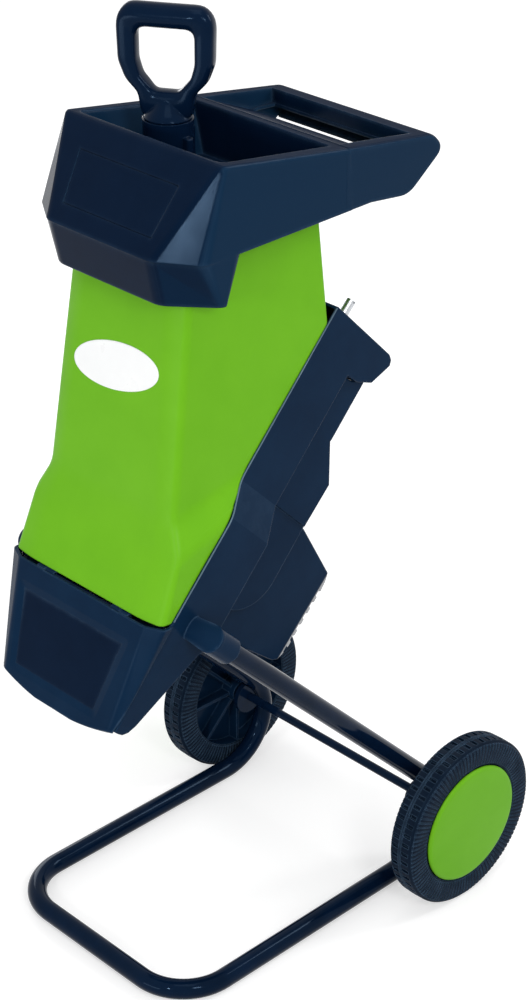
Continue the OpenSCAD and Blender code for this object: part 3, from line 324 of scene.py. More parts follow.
def painted_finish(name):
    """Stove-enamelled steel tube: deep gloss with a soft orange peel and small rubs."""
    made, tree, shader = new_finish(name)
    skin = place_group(tree, MOULD_GRAIN, Grain_scale=260.0, Cloud_scale=22.0)
    edges = place_group(tree, SOFT_EDGES, Radius=0.0006, Band=0.0010, Rub=0.5)
    film = place_group(tree, SETTLED_DUST, Amount=0.02)
    tint = blend_colour(tree, skin.outputs["Cloud"], ENAMEL_SHADE, ENAMEL)
    tint = blend_colour(tree, edges.outputs["Mask"], tint, ENAMEL_PALE)
    tint = blend_colour(tree, film.outputs["Mask"], tint, DUST)
    join(tree, tint, shader.inputs["Base Color"])
    join(tree, spread(tree, skin.outputs["Cloud"], 0.0, 1.0, 0.10, 0.06), shader.inputs["Roughness"])
    shader.inputs["Specular IOR Level"].default_value = 0.09
    shader.inputs["Specular Tint"].default_value = BLUE_SHEEN
    roughen(tree, shader, skin.outputs["Height"], 0.12, 0.00006, edges.outputs["Normal"])
    return made


def wound_finish(name):
    """Enamelled copper wire laid side by side."""
    made, tree, shader = new_finish(name)
    points = object_points(tree)
    wires = add(tree, "ShaderNodeTexWave", {"Scale": 260.0, "Distortion": 0.6, "Detail": 1.0},
                wave_type="BANDS", bands_direction="DIAGONAL")
    join(tree, points, wires.inputs["Vector"])
    edges = place_group(tree, SOFT_EDGES, Radius=0.0012, Rub=0.2)
    tint = blend_colour(tree, wires.outputs["Fac"], (0.20, 0.062, 0.020), (0.56, 0.22, 0.080))
    join(tree, tint, shader.inputs["Base Color"])
    shader.inputs["Metallic"].default_value = 0.85
    join(tree, spread(tree, wires.outputs["Fac"], 0.0, 1.0, 0.45, 0.28), shader.inputs["Roughness"])
    roughen(tree, shader, wires.outputs["Fac"], 0.5, 0.0002, edges.outputs["Normal"])
    return made


# Pale bands along the rounded edges of these mouldings are painted highlight as well as rub wear; the
# hopper's band is wide
HOPPER_PLASTIC = moulded_finish("hopper_plastic", NAVY, NAVY_SHADE, NAVY_PALE, 0.15, 0.045,
                                radius=0.0016, band=0.0075, rub_and_highlight=0.34, dust=0.02, painted_side_light=NAVY_PAINTED_SIDE_LIGHT)
BODY_PLASTIC = moulded_finish("body_plastic", BLACK, BLACK_SHADE, NAVY_PALE, 0.20, 0.045,
                              radius=0.0016, band=0.0026, rub_and_highlight=0.75, dust=0.04)
GRIP_PLASTIC = moulded_finish("grip_plastic", NAVY, NAVY_SHADE, NAVY_PALE, 0.15, 0.09,
                              rub_and_highlight=0.06, dust=0.02)
CHUTE_PLASTIC = moulded_finish("chute_plastic", GREEN, GREEN_SHADE, GREEN_PALE, 0.40, 0.12,
                               depth=0.00003, radius=0.0020, rub_and_highlight=0.30, dust=0.0, sheen=WHITE_SHEEN)
TREAD_RUBBER = moulded_finish("tread_rubber", RUBBER, RUBBER_SHADE, RUBBER_PALE, 0.60, 0.08,
                              grain=800.0, depth=0.00012, strength=0.4, radius=0.0009, band=0.0014,
                              rub_and_highlight=0.9, dust=0.10, cloud=60.0)
PLATE_FILM = moulded_finish("plate_film", (0.91, 0.92, 0.92), (0.87, 0.88, 0.885),
                            (0.95, 0.955, 0.96), 0.30, 0.35, depth=0.00001, rub_and_highlight=0.2, dust=0.02,
                            sheen=WHITE_SHEEN)
STOP_PLASTIC = moulded_finish("stop_plastic", (0.52, 0.012, 0.010), (0.44, 0.010, 0.009),
                              (0.72, 0.09, 0.07), 0.36, 0.4, dust=0.03, sheen=WHITE_SHEEN)
PANEL_PLASTIC = moulded_finish("panel_plastic", (0.022, 0.027, 0.034), (0.017, 0.021, 0.027),
                               (0.09, 0.10, 0.12), 0.5, 0.3, grain=900.0, depth=0.00008)
# Pale blue bead colour: painted highlight along the pan's upper edge
PAINTED_HIGHLIGHT_BEAD = moulded_finish("painted_highlight_bead", (0.0900, 0.1500, 0.2100), (0.0600, 0.1050, 0.1500),
                              (0.14, 0.21, 0.28), 0.22, 0.30, dust=0.0, sheen=WHITE_SHEEN)
TUBE_ENAMEL = painted_finish("tube_enamel")
ZINC_STEEL = metal_finish("zinc_steel", (0.62, 0.64, 0.66), (0.47, 0.49, 0.52), 0.30,
                          (8.0, 900.0, 900.0))
TURNED_STEEL = metal_finish("turned_steel", (0.55, 0.56, 0.57), (0.40, 0.41, 0.43), 0.34,
                            (900.0, 20.0, 900.0))
BLADE_STEEL = metal_finish("blade_steel", (0.50, 0.51, 0.53), (0.34, 0.35, 0.37), 0.36,
                           (40.0, 700.0, 700.0), depth=0.00005)
SHEET_STACK = metal_finish("sheet_stack", (0.33, 0.33, 0.34), (0.16, 0.16, 0.17), 0.46,
                           (30.0, 1500.0, 1500.0), depth=0.0001)
CONTACT_BRASS = metal_finish("contact_brass", (0.72, 0.47, 0.16), (0.52, 0.33, 0.10), 0.30,
                             (600.0, 60.0, 600.0))
COPPER_WIRE = wound_finish("copper_wire")


def dress(finish, *nodes):
    """Finish on CAD nodes whose shape stays."""
    for node in nodes:
        mesh = frame["nodes"][node].data
        mesh.materials.clear()
        mesh.materials.append(finish)


def put_in_scene(name, data):
    """New object for a mesh, lamp or camera, linked into the scene."""
    piece = bpy.data.objects.new(name, data)
    scene.collection.objects.link(piece)
    return piece


def show(name, mesh, node, finish, sharp=32.0):
    """New piece that stands for a CAD node, on the node's body."""
    stale = mesh.attributes.get("custom_normal")
    if stale:
        mesh.attributes.remove(stale)
    mesh.name = name
    mesh.shade_smooth()
    mesh.set_sharp_from_angle(angle=math.radians(sharp))
    mesh.materials.clear()
    mesh.materials.append(finish)
    piece = put_in_scene(name, mesh)
    even = piece.modifiers.new("even_shading", "WEIGHTED_NORMAL")
    even.keep_sharp = True
    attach(piece, BODY_OF_NODE[node])
    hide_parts(node)
    return piece


def to_mesh(bm, name="work"):
    """Mesh from a work mesh, with all faces looking outwards."""
    bmesh.ops.recalc_face_normals(bm, faces=bm.faces)
    mesh = bpy.data.meshes.new(name)
    bm.to_mesh(mesh)
    bm.free()
    return mesh


def clean_copy(node):
    """Copy of a CAD node's mesh with its points welded and its flat faces in one piece."""
    weld, flat = 4e-6, math.radians(0.4)
    bm = bmesh.new()
    bm.from_mesh(frame["nodes"][node].data)
    bmesh.ops.remove_doubles(bm, verts=bm.verts, dist=weld)
    bmesh.ops.dissolve_degenerate(bm, edges=bm.edges, dist=weld)
    bmesh.ops.dissolve_limit(bm, angle_limit=flat, verts=bm.verts, edges=bm.edges,
                             use_dissolve_boundaries=False)
    return bm


def worked_mesh(mesh, prepare):
    """Mesh after the modifiers that prepare() puts on it."""
    piece = put_in_scene("work", mesh)
    helpers = prepare(piece) or []
    done = bpy.data.meshes.new_from_object(
        piece.evaluated_get(bpy.context.evaluated_depsgraph_get())
    )
    for old in [piece, *helpers]:
        bpy.data.objects.remove(old)
    return done


def carve(first, operation, second):
    """Solid joined with, cut by or kept inside another one."""
    def prepare(piece):
        other = put_in_scene("work_tool", second)
        step = piece.modifiers.new("carve", "BOOLEAN")
        step.operation = operation
        step.solver = "MANIFOLD"
        step.object = other
        return [other]
    return worked_mesh(first, prepare)


def soft_corners(points, cuts, steps, closed):
    """Outline or line whose corners are turned into short curves."""
    most = 0.46
    count = len(points)
    out = []
    for k, point in enumerate(points):
        if not closed and k in (0, count - 1):
            out.append(point)
            continue
        back = points[k - 1] - point
        forth = points[(k + 1) % count] - point
        cut = cuts[k] if isinstance(cuts, (list, tuple)) else cuts
        first = point + back.normalized() * min(cut, most * back.length)
        last = point + forth.normalized() * min(cut, most * forth.length)
        for step in range(steps + 1):
            share = step / steps
            out.append(first * (1 - share) ** 2 + point * (2 * share * (1 - share))
                       + last * share ** 2)
    return out


def skin(bm, rows):
    """Faces between neighbouring rows of points; a row may hold one point many times."""
    for low, high in zip(rows, rows[1:]):
        for k in range(len(low)):
            n = (k + 1) % len(low)
            corners = list(dict.fromkeys((low[k], low[n], high[n], high[k])))
            if len(corners) > 2:
                bm.faces.new(corners)


def turns(count):
    """Angles of equal steps round a circle."""
    return [2 * math.pi * k / count for k in range(count)]


def loft(rings, corners, bends, steps=5):
    """Closed solid through outlines in millimetres, rounded at its corners and its bends."""
    rounded = [soft_corners([Vector(p) for p in ring], corners, steps, True) for ring in rings]
    columns = [soft_corners(list(line), bends, steps, False) for line in zip(*rounded)]
    bm = bmesh.new()
    rows = [[bm.verts.new(point * MILLIMETRE) for point in row] for row in zip(*columns)]
    skin(bm, rows)
    bm.faces.new(rows[0][::-1])
    bm.faces.new(rows[-1])
    bmesh.ops.remove_doubles(bm, verts=bm.verts, dist=2e-6)
    return to_mesh(bm)


def inset(ring, amount):
    """Outline moved inwards in its own plane."""
    points = [Vector(p) for p in ring]
    count = len(points)
    up = Vector((0, 0, 0))
    for k in range(count):
        up += points[k].cross(points[(k + 1) % count])
    up.normalize()
    out = []
    for k, point in enumerate(points):
        before = up.cross((point - points[k - 1]).normalized())
        after = up.cross((points[(k + 1) % count] - point).normalized())
        out.append(point + (before + after) * (amount / (1.0 + before.dot(after))))
    return out


def block(x0, x1, y0, y1, z0, z1):
    """Plain working solid between limits in millimetres."""
    ring = [(x0, y0), (x1, y0), (x1, y1), (x0, y1)]
    return loft([[(x, y, z) for x, y in ring] for z in (z0, z1)], 0.0, 0.0, 1)


def room_beside(edge):
    """How far an edge can be rounded before it meets the next one."""
    way = (edge.verts[1].co - edge.verts[0].co).normalized()
    room = 1.0
    for vert in edge.verts:
        for other in vert.link_edges:
            along = (other.other_vert(vert).co - vert.co).normalized()
            if other is not edge and abs(along.dot(way)) < 0.85:
                room = min(room, other.calc_length())
    return room


def crossing_places(mesh):
    """Places where faces of a mesh run through each other."""
    bm = bmesh.new()
    bm.from_mesh(mesh)
    bmesh.ops.triangulate(bm, faces=bm.faces)
    bm.faces.ensure_lookup_table()
    corners = [{v.index for v in face.verts} for face in bm.faces]
    tree = BVHTree.FromBMesh(bm)
    places = []
    for i, j in tree.overlap(tree):
        if i < j and not corners[i] & corners[j]:
            small = min(bm.faces[i], bm.faces[j], key=lambda face: face.calc_area())
            places.append(small.calc_center_median())
    bm.free()
    return places


def span_to(point, edge):
    """Distance of a point from an edge."""
    start = edge.verts[0].co
    way = edge.verts[1].co - start
    share = min(1.0, max(0.0, (point - start).dot(way) / way.length_squared))
    return (point - start - way * share).length


def moulding(node, name, finish, width, moves=None, joins=()):
    """CAD node with rounded edges, after its points were moved and before solids are joined.

    Edges whose rounding would run into others keep less of it or none.
    """
    bent, shortest, rounds = math.radians(24.0), 0.004, 14
    room_share, least_share, nearby = 0.42, 0.25, 4.0 * width
    bm = clean_copy(node)
    if moves:
        for vert in bm.verts:
            vert.co += moves(vert.co)
    bm.edges.ensure_lookup_table()
    weight = bm.edges.layers.float.new("bevel_weight_edge")
    chosen = {}
    for edge in bm.edges:
        steep = len(edge.link_faces) == 2 and edge.calc_face_angle(0.0) > bent
        share = min(1.0, room_share * room_beside(edge) / width)
        if steep and edge.calc_length() > shortest and share > least_share:
            chosen[edge.index] = share

    def prepare(piece):
        bevel = piece.modifiers.new("rounding", "BEVEL")
        bevel.limit_method = "WEIGHT"
        bevel.width = width
        bevel.segments = 3
        bevel.use_clamp_overlap = False

    for _ in range(rounds):
        for edge in bm.edges:
            edge[weight] = chosen.get(edge.index, 0.0)
        flat = bpy.data.meshes.new(name)
        bm.to_mesh(flat)
        mesh = worked_mesh(flat, prepare)
        near = set()
        for place in crossing_places(mesh):
            ranked = sorted((span_to(place, bm.edges[k]), k) for k in chosen)[:3]
            near.update(k for d, k in ranked if d < nearby or k == ranked[0][1])
        if not near:
            break
        for k in near:
            if chosen[k] > 0.5:
                chosen[k] *= 0.5
            else:
                del chosen[k]
    bm.free()
    for extra in joins:
        mesh = carve(mesh, "UNION", extra)
    return show(name, mesh, node, finish)


def in_cut(x, t, n):
    """Point from x, the distance t along the parting plane and the depth n under it, in millimetres."""
    return Vector((x, CUT_Y + (t + n) * DIAGONAL, CUT_Z + (t - n) * DIAGONAL))


def close_up(place):
    """Step that brings the upper end of the rear cover close under the cowl."""
    upper_end, step = 0.2165, 0.0016
    along = (place.y + place.z - (CUT_Y + CUT_Z) * MILLIMETRE) * DIAGONAL
    return Vector((0, DIAGONAL, DIAGONAL)) * (step if along > upper_end else 0.0)


# Places of the hopper and the plunger in millimetres, as in the part's source
RIM_Y, RIM_Z, BELT_Z, LIP_Z = -270.0, 915.0, 827.0, 780.0
RIM_COS, RIM_SIN = math.cos(math.radians(8.3)), math.sin(math.radians(8.3))
STEM_X, STEM_Y, GRIP_TURN = -32.0, -207.0, math.radians(31.0)


def level(points, z):
    """Outline at a height."""
    return [(x, y, z) for x, y in points]


def on_rim(points, drop):
    """Outline on the sloped rim of the hopper, or a drop under it."""
    return [
        (x, RIM_Y + y * RIM_COS - drop * RIM_SIN, RIM_Z - y * RIM_SIN - drop * RIM_COS)
        for x, y in points
    ]


def tilted(points, origin, turn, depth):
    """Outline on a face through origin, turned about X, at a depth under the face."""
    place = Matrix.Translation(Vector(origin)) @ Matrix.Rotation(turn, 4, "X")
    return [place @ Vector((x, y, -depth)) for x, y in points]


def chute_plan(half, flat, front, chamfer, rear):
    """Six-sided outline with two cut corners in front."""
    return [(-half, rear), (half, rear), (half, front + chamfer), (flat, front), (-flat, front),
            (-half, front + chamfer)]


def make_hopper():
    """Funnel and handle: soft rim, belt edge, bowed lip and sunk front panel."""
    belt = [(-74, -328), (74, -328), (118, -299), (113, -100), (-113, -100), (-118, -299)]
    low_belt = [*belt[:3], (117.5, -249), (-117.5, -249), belt[5]]
    lip = [(-73, -317), (73, -317), (118, -278), (118, -270), (-118, -270), (-118, -278)]
    rim = [(-110, 0), (110, 0), (112, 3), (112, 168), (-112, 168), (-112, 3)]
    foot = inset(level(belt, BELT_Z - SLACK), -SLACK)
    edge = inset(on_rim(rim, -SLACK), -SLACK)
    bowl = loft([inset(foot, 2.0), foot, edge, inset(edge, 7.5)],
                [6, 6, 8, 0, 0, 8], [0, 1.6, 7.0, 0])
    foot = inset(level(lip, LIP_Z - SLACK), -SLACK)
    under_belt = inset(level(low_belt, BELT_Z + 1.0), 0.6)
    skirt = loft([inset(foot, 2.0), foot, under_belt], 9.0, [0, 1.8, 0])
    side = [(-105, 891.2), (20, 874), (32, 862), (31, 852), (-16, 819), (-72, 826), (-105, 826)]
    left, right = [
        inset([(way * (112 - (y + 102) * 0.0244 - (z - 891) * 0.0162), y, z) for y, z in side], -SLACK)
        for way in (-1, 1)
    ]
    arms = loft([inset(left, 6.5), left, right, inset(right, 6.5)],
                [0, 7, 7, 7, 12, 0, 0], [0, 6.0, 6.0, 0])
    hull = carve(carve(bowl, "UNION", skirt), "UNION", arms)
    shell = carve(to_mesh(clean_copy("hopper")), "INTERSECT", hull)
    mouth = [(-96, 155), (96, 155), (100, 12), (94, 8), (-94, 8), (-100, 12)]
    rounding = [
        inset(on_rim(mouth, drop), inwards)
        for drop, inwards in ((-2, -1.8), (0.2, -1.4), (0.8, -0.6), (2.4, 0.1))
    ]
    shell = carve(shell, "DIFFERENCE", loft(rounding, 4.0, 0.8))
    panel = [(-70, -30), (70, -30), (63, -84), (-63, -84)]
    turn = math.atan2(RIM_Z - BELT_Z, RIM_Y - belt[0][1])
    plate = [
        inset(tilted(panel, (0, RIM_Y, RIM_Z), turn, depth), inwards)
        for depth, inwards in ((2.2, 0.5), (0.3, 0.5), (0.3, 2.5))
    ]
    shell = carve(shell, "UNION", loft(plate, 3.0, [0, 0.4, 0]))
    show("hopper_shell", shell, "hopper", HOPPER_PLASTIC)


def chute_rings(wall):
    """Outlines of the chute from hinge to top, shrunk by a wall; the inner ones stand out at the ends."""
    lean = math.tan(math.radians(17.0)), math.tan(math.radians(11.0))
    over = 1.0 if wall else 0.0

    def plan(half, flat, front, chamfer, rear):
        return chute_plan(half - wall, flat - wall / 2, front + wall, chamfer, rear - wall)

    foot = level(plan(113, 86, -362.05, 4, -98), 464.0 - over)
    low = [(x, y, 548 + (y + 261.0) * lean[0]) for x, y in plan(110, 86.5, -336.55, 4, -98)]
    mid = [(x, y, 575 + (y + 234.0) * lean[1]) for x, y in plan(94, 77.5, -327.05, 4, -98)]
    top = level(plan(82, 58.5, -287.6, 6, -115.5), 836.0 + over)
    return [foot, low, mid, top]


def make_chute():
    """Green chute with soft corners and a soft flare; the hinge knuckles come from the CAD node and take the
    dark body finish as painted shade in the hinge gap.
    """
    wall, knuckle_reach, knuckle_top = 3.5, 60, 466
    corners, bends = [5, 5, 8, 9, 9, 8], [0, 10.0, 10.0, 0]
    shell = loft(chute_rings(0), corners, bends, 6)
    shell = carve(shell, "DIFFERENCE", loft(chute_rings(wall), corners, bends, 6))
    across = [(-200, -500), (200, -500), (200, 500), (-200, 500)]
    under = [[in_cut(x, t, depth) for x, t in across] for depth in (-0.3, 400.0)]
    shell = carve(shell, "DIFFERENCE", loft(under, 0.0, 0.0, 1))
    hinge = block(-knuckle_reach, knuckle_reach, -374, -356.5, 448, knuckle_top)
    knuckles = carve(to_mesh(clean_copy("chute_body")), "INTERSECT", hinge)
    shell = carve(shell, "UNION", knuckles)
    piece = show("chute_shell", shell, "chute_body", CHUTE_PLASTIC)
    # The knuckles are coloured dark as painted shade in the hinge gap
    piece.data.materials.append(BODY_PLASTIC)
    for face in piece.data.polygons:
        place = face.center / MILLIMETRE
        if place.z < knuckle_top - 0.4 and abs(place.x) < knuckle_reach + 0.5:
            face.material_index = 1


def make_seam_bead(side):
    """Thin glossy bead along the pan's upper edge, beside the foot of the chute, whose pale colour is painted
    highlight.
    """
    way = 1 if side == "right" else -1
    radius, inwards, depth = 0.85, 0.55, 0.25
    line = [Vector(p) for p in ((114.95, -84.0), (112.0, 33.2), (96.0, 71.4), (89.6, 269.0))]
    line = soft_corners(line, 9.0, 6, False)
    bm = bmesh.new()
    rows = []
    for k, (x, t) in enumerate(line):
        ahead = (line[min(k + 1, len(line) - 1)] - line[max(k - 1, 0)]).normalized()
        row = []
        for turn in turns(10):
            out = radius * math.cos(turn) - inwards
            place = in_cut(way * (x + out * ahead.y), t - out * ahead.x,
                           depth + radius * math.sin(turn))
            row.append(bm.verts.new(place * MILLIMETRE))
        rows.append(row)
    skin(bm, rows)
    bm.faces.new(rows[0])
    bm.faces.new(rows[-1])
    mesh = to_mesh(bm, "seam_bead_" + side)
    mesh.shade_smooth()
    mesh.materials.append(PAINTED_HIGHLIGHT_BEAD)
    piece = put_in_scene("seam_bead_" + side, mesh)
    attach(piece, BODY_OF_NODE["blade_pan"])


def make_nose():
    """Cover of the discharge duct: soft facets and a sunk dark panel with a wide soft border."""
    top_y, top_z, low_y, low_z = -367.05, 461.6, -410.0, 340.0
    top = inset(level(chute_plan(117, 97, top_y, 9, -300), top_z + SLACK), -SLACK)
    low = inset(level(chute_plan(87, 80, low_y, 5, -338), low_z - 0.05), -SLACK)
    hull = loft([low, top, inset(top, 2.0)], [0, 0, 3, 3.5, 3.5, 3], [0, 0.8, 0])
    hull = carve(hull, "UNION", block(-72, 72, -366.4, -345, 448, 472))
    shell = carve(to_mesh(clean_copy("nose_cover")), "INTERSECT", hull)
    panel = [(-80, -28), (72, -28), (54, -107), (-68, -107)]
    turn = math.atan2(top_z - low_z, top_y - low_y)
    border = [
        inset(tilted(panel, (0, top_y, top_z), turn, depth), inwards)
        for depth, inwards in ((1.36, 0.05), (1.1, -1.5), (0.1, -7.5), (-1.2, -13.0))
    ]
    shell = carve(shell, "DIFFERENCE", loft(border, 6.0, 1.2))
    piece = show("nose_shell", shell, "nose_cover", BODY_PLASTIC)
    piece.data.materials.append(HOPPER_PLASTIC)
    sunk = tilted([(0, 0)], (0, top_y, top_z), turn, 1.2)[0] * MILLIMETRE
    front = Matrix.Rotation(turn, 3, "X") @ Vector((0, 0, 1))
    for face in piece.data.polygons:
        if face.normal.dot(front) > 0.999 and (face.center - sunk).dot(front) < 0.0:
            face.material_index = 1


def make_grip():
    """D grip: rounded arms, a round bar on top, a neck that widens to the collar."""
    half, top, centre = 48.5, 1022.8, 973.0
    outer = [(half - 11, 0), (half - 3, 8), (half, 18), (half - 1, 56), (half - 8, 74), (27, 88), (25, 111.9)]
    inner = [(half - 24, 24), (half - 20, 28), (half - 20, 56), (half - 24, 70), (12, 84)]
    outer, inner = [
        [(x, top - drop) for x, drop in line] + [(-x, top - drop) for x, drop in reversed(line)]
        for line in (outer, inner)
    ]

    def reach(outline, way):
        """Distance from the middle of the hole to an outline."""
        for k, (x0, z0) in enumerate(outline):
            x1, z1 = outline[(k + 1) % len(outline)]
            cross = way[0] * (z1 - z0) - way[1] * (x1 - x0)
            if abs(cross) < 1e-9:
                continue
            far = (x0 * (z1 - z0) - (z0 - centre) * (x1 - x0)) / cross
            along = (x0 * way[1] - (z0 - centre) * way[0]) / cross
            if far > 0 and -1e-6 <= along <= 1 + 1e-6:
                return far
        return 0.0

    def evened(lengths):
        """Lengths round the loop, each drawn towards its neighbours."""
        after = lengths[1:] + lengths[:1]
        return [(lengths[k - 1] + 2 * length + after[k]) / 4 for k, length in enumerate(lengths)]

    def bulge(value, power):
        """Sine or cosine swelled towards a square by a power under one."""
        return math.copysign(abs(value) ** power, value)

    ways = [(math.sin(turn), math.cos(turn)) for turn in turns(96)]
    near = evened(evened([reach(inner, way) for way in ways]))
    far = evened(evened([reach(outer, way) for way in ways]))
    place = (Matrix.Translation(Vector((STEM_X, STEM_Y, 0.0)) * MILLIMETRE)
             @ Matrix.Rotation(GRIP_TURN, 4, "Z") @ Matrix.Scale(MILLIMETRE, 4))
    bm = bmesh.new()
    rows = []
    for k, way in enumerate(ways):
        bar = min(1.0, max(0.0, (way[1] - 0.62) / 0.2))
        thick = 10.9 + 2.1 * bar
        power = 0.62 + 0.38 * bar
        middle, deep = (near[k] + far[k]) / 2, (far[k] - near[k]) / 2
        row = []
        for turn in turns(24):
            u = bulge(math.cos(turn), power) * deep + middle
            v = bulge(math.sin(turn), power) * thick
            row.append(bm.verts.new(place @ Vector((way[0] * u, v, centre + way[1] * u))))
        rows.append(row)
    skin(bm, rows + rows[:1])
    loop = to_mesh(bm)
    neck = ((22.5, 911.0), (23.9, 912.2), (21.5, 917.0), (14.5, 925.0), (9.5, 932.0), (6.0, 933.5))
    rings = [
        [(STEM_X + radius * math.cos(turn), STEM_Y + radius * math.sin(turn), z) for turn in turns(48)]
        for radius, z in neck
    ]
    cone = loft(rings, 0.0, [0, 0.8, 3, 3, 1, 0], 3)
    show("grip", carve(loop, "UNION", cone), "plunger_grip", GRIP_PLASTIC, 40.0)


def turned(profile, steps, point):
    """Work mesh round an axis from (radius, height) pairs, and its rows; point() places them."""
    bm = bmesh.new()
    rows = []
    for radius, height in profile:
        if radius == 0.0:
            rows.append([bm.verts.new(point(0.0, height, 0.0))] * steps)
        else:
            rows.append([bm.verts.new(point(radius, height, turn)) for turn in turns(steps)])
    skin(bm, rows)
    return bm, rows


def socket_fairing(way):
    """Upper end of a leg socket, sloped down to the side of the pan."""
    leg_x, leg_t, radius, wall_x = 140.0, -79.2, 15.1, 112.5
    rings = [[], [], []]
    for turn in turns(48):
        across, along = math.cos(turn), math.sin(turn)
        for ring, depth in zip(rings, (33.6, 29.0)):
            ring.append(in_cut(way * (leg_x + radius * across), leg_t + radius * along, depth))
        rings[2].append(in_cut(way * wall_x, 12.5 * along - 79.0, 28.0 - 7.0 * across))
    return loft(rings, 0.0, [0, 4.5, 0])


def wheel_place(side):
    """From a wheel's own millimetres, inner face at x 0, to its place on the axle."""
    axle_z = 0.1
    shift, way = (0.185, 1) if side == "right" else (-0.153, -1)
    return (Matrix.Translation((shift, 0, axle_z)) @ Matrix.Scale(way, 4, (1, 0, 0))
            @ Matrix.Scale(MILLIMETRE, 4))


def make_tyre(side):
    """Tyre with two staggered rows of pockets, a centre rib and fine ribs on both walls."""
    place = wheel_place(side)
    pitches, width, pocket, rib = 54, 34.0, 3.0, 0.90
    # Steps within one pitch; at each of them the two rows of pockets and the ribs of the walls
    parts = (0.0, 0.035, 0.19, 0.375, 0.41, 0.5, 0.535, 0.69, 0.875, 0.91)
    first = (0, 1, 1, 1, 0, 0, 0, 0, 0, 0)
    second = (0, 0, 0, 0, 0, 0, 1, 1, 1, 0)
    wall = (0, 1, 1, 1, 0, 0, 1, 1, 1, 0)
    sections = [
        ("", [(78.0, 2.9), (77.0, 2.6), (71.6, 2.5), (71.3, 2.2), (71.6, 1.7), (73.2, 1.5)]),
        ("wall", [(73.6, 1.45), (80.0, 1.0), (87.0, 0.95), (92.5, 1.2), (96.2, 2.2)]),
        ("", [(96.8, 2.5), (98.7, 3.5), (99.3, 4.2), (99.5, 4.9), (99.55, 5.1)]),
        ("row", [(99.6, 5.3), (99.75, 9.5), (99.85, 14.2)]),
        ("", [(99.85, 14.4), (99.9, 15.0), (98.9, 15.3), (98.9, 15.8), (100.0, 16.1)]),
    ]
    half = [(r, x, kind) for kind, points in sections for r, x in points]
    profile = [(r, x, kind, first) for r, x, kind in half]
    profile += [(r, width - x, kind, second) for r, x, kind in reversed(half)]
    bm = bmesh.new()
    columns = []
    for pitch in range(pitches):
        for k, part in enumerate(parts):
            turn = 2 * math.pi * (pitch + part) / pitches
            column = []
            for r, x, kind, row in profile:
                if kind == "row":
                    r -= pocket * row[k]
                if kind == "wall":
                    x += (1 if x > width / 2 else -1) * rib * wall[k]
                spot = place @ Vector((x, r * math.cos(turn), r * math.sin(turn)))
                column.append(bm.verts.new(spot))
            columns.append(column)
    skin(bm, columns + columns[:1])
    show("tyre_" + side + "_tread", to_mesh(bm), "tyre_" + side, TREAD_RUBBER, 28.0)


def make_hubcap(side):
    """Flat cap with a turned-down edge."""
    place = wheel_place(side)
    profile = [(0.0, 36.7), (24.0, 36.65), (50.0, 36.4), (64.0, 36.0), (67.4, 35.7), (69.0, 34.9),
               (69.8, 33.6), (70.0, 32.1), (62.0, 32.1), (56.0, 35.0), (0.0, 35.0)]

    def point(radius, x, turn):
        return place @ Vector((x, radius * math.cos(turn), radius * math.sin(turn)))

    mesh = to_mesh(turned(profile, 96, point)[0])
    show("hubcap_" + side + "_disc", mesh, "hubcap_" + side, CHUTE_PLASTIC, 40.0)


def make_plate():
    """Oval plate with a low dome and a bead along its edge."""
    half_wide, half_high = 62.0, 24.5
    chute_lean, tilt = 8.0455, 10.0
    place = (Matrix.Translation((-0.002, -0.308096, 0.691))
             @ Matrix.Rotation(math.radians(90 - chute_lean), 4, "X")
             @ Matrix.Rotation(math.radians(tilt), 4, "Z") @ Matrix.Scale(MILLIMETRE, 4))
    profile = [(0.0, 0.98), (0.4, 0.96), (0.75, 0.88), (0.925, 0.78), (0.945, 0.92), (0.965, 1.05),
               (0.985, 0.98), (1.0, 0.62), (1.0, 0.1)]

    def point(share, z, turn):
        x, y = half_wide * share * math.cos(turn), half_high * share * math.sin(turn)
        return place @ Vector((x, y, z))

    bm, rows = turned(profile, 96, point)
    bm.faces.new(rows[-1])
    show("label_oval", to_mesh(bm), "label_plate", PLATE_FILM, 40.0)


make_hopper()
make_chute()
make_nose()
make_grip()
make_plate()
for each_side in SIDES:
    make_seam_bead(each_side)
    make_tyre(each_side)
    make_hubcap(each_side)
    moulding("wheel_core_" + each_side, "wheel_dish_" + each_side, BODY_PLASTIC, 0.0012)
moulding("plunger_stem", "stem", GRIP_PLASTIC, 0.0020)
moulding("blade_pan", "pan_shell", BODY_PLASTIC, 0.0016,
         joins=[socket_fairing(-1), socket_fairing(1)])
moulding("rear_cover", "rear_cover_shell", BODY_PLASTIC, 0.0020, moves=close_up)
moulding("motor_cover", "motor_cover_shell", BODY_PLASTIC, 0.0020)
# The hinge rod takes the dark tube enamel as painted shade in the hinge gap
dress(TUBE_ENAMEL, "frame_tube", "axle_tabs", "axle", "axle_caps", "axle_sleeves", "hinge_rod")
dress(ZINC_STEEL, "hopper_screws", "rear_cover_screws", "motor_cover_screws", "leg_bolts", "lock_nut",
      "lock_washer", "lock_screw", "latch_fork", "fork_screws", "blade_screws", "disc_washer", "disc_bolt",
      "inlet_pins")
dress(TURNED_STEEL, "motor_shaft", "front_bearing", "rear_bearing", "motor_can", "rear_bracket")
dress(BLADE_STEEL, "cutting_disc", "blade_a", "blade_b")
dress(SHEET_STACK, "stator_core", "rotor_core")
dress(COPPER_WIRE, "stator_coils")
dress(CONTACT_BRASS, "commutator", "brush_holders")
dress(BODY_PLASTIC, "switch_block", "overload_breaker", "power_inlet", "safety_switch", "cooling_fan",
      "reset_button")
dress(PANEL_PLASTIC, "switch_plate")
dress(CHUTE_PLASTIC, "start_button")
dress(STOP_PLASTIC, "stop_button")


def shows_white(tree):
    """One where floor or sky is looked at, directly, mirrored or through glass; else nought."""
    path = add(tree, "ShaderNodeLightPath")
    seen = math_node(tree, "MAXIMUM", path.outputs["Is Camera Ray"], path.outputs["Is Glossy Ray"])
    return math_node(tree, "MAXIMUM", seen, path.outputs["Is Transmission Ray"])


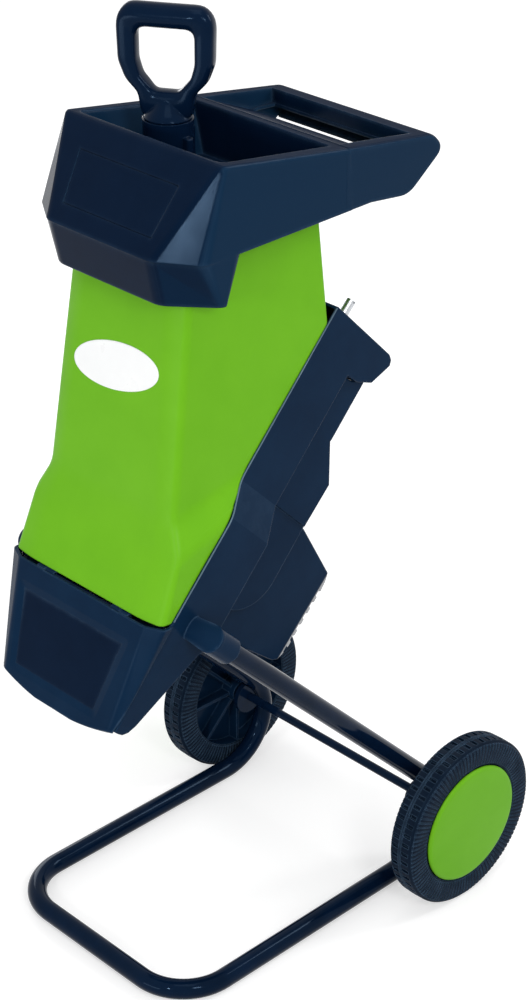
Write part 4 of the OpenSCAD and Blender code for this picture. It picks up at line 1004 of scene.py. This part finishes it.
def make_floor():
    """Plain pale floor under the wheels and the tube, whiter with the distance."""
    bm = bmesh.new()
    bmesh.ops.create_grid(bm, x_segments=8, y_segments=8, size=7.0)
    mesh = bpy.data.meshes.new("floor")
    bm.to_mesh(mesh)
    bm.free()
    floor = put_in_scene("floor", mesh)
    floor.location.z = -0.0002
    made, tree, shader = new_finish("floor_white")
    shader.inputs["Base Color"].default_value = (0.66, 0.66, 0.66, 1)
    shader.inputs["Roughness"].default_value = 0.8
    shader.inputs["Specular IOR Level"].default_value = 0.1
    shader.inputs["Emission Color"].default_value = (1.0, 1.0, 1.0, 1)
    seen = shows_white(tree)
    far = add(tree, "ShaderNodeVectorMath", operation="LENGTH")
    join(tree, object_points(tree), far.inputs[0])
    fade_start, fade_end = 0.5, 2.4
    fade = spread(tree, far.outputs["Value"], fade_start, fade_end, 0.47, 0.64)
    join(tree, math_node(tree, "MULTIPLY", seen, fade), shader.inputs["Emission Strength"])
    mesh.materials.append(made)


def make_sky(brightness):
    """Even light from all round; looked at, it is white."""
    world = bpy.data.worlds.new("studio_white")
    world.use_nodes = True
    scene.world = world
    tree = world.node_tree
    tree.nodes.clear()
    strength = spread(tree, shows_white(tree), 0.0, 1.0, brightness, 1.0)
    light = add(tree, "ShaderNodeBackground", {"Color": (1.0, 1.0, 1.0, 1.0)})
    join(tree, strength, light.inputs["Strength"])
    join(tree, light.outputs[0], add(tree, "ShaderNodeOutputWorld").inputs["Surface"])


def make_lamp(name, place, size, power, target=(0.0, -0.2, 0.6)):
    """Soft box that faces a point, the middle of the part unless another is given."""
    lamp = bpy.data.lights.new(name, "AREA")
    lamp.shape = "RECTANGLE"
    lamp.size, lamp.size_y = size
    lamp.energy = power
    box = put_in_scene(name, lamp)
    box.location = place
    box.rotation_euler = (Vector(target) - Vector(place)).to_track_quat("-Z", "Y").to_euler()
    box.visible_camera = False


def make_camera():
    """Camera where the photograph was taken from."""
    camera = bpy.data.cameras.new("photo_camera")
    camera.sensor_width = 36.0
    camera.lens = 82.55
    camera.clip_end = 50.0
    elevation, azimuth = math.radians(28.652), math.radians(45.773)
    stand = put_in_scene("photo_camera", camera)
    stand.location = (1.5443, -1.6120, 1.6445)
    stand.rotation_euler = (math.pi / 2 - elevation, 0.0, azimuth)
    scene.camera = stand


make_floor()
make_sky(0.62)
make_lamp("key_box", (0.84, -2.41, 1.40), (0.18, 0.26), 11.5)
make_lamp("right_box", (1.95, -1.05, 1.85), (0.50, 0.50), 17.0)
make_lamp("front_box", (-0.15, -2.75, 0.33), (1.20, 0.40), 8.0, (0.0, -0.2, 0.5))
make_lamp("top_box", (0.3, -0.5, 2.6), (0.9, 1.4), 7.0)
make_lamp("left_box", (-2.2, 0.6, 1.0), (0.8, 1.2), 12.0)
make_lamp("back_box", (1.25, 1.6, 2.1), (0.5, 0.9), 14.0)
make_camera()
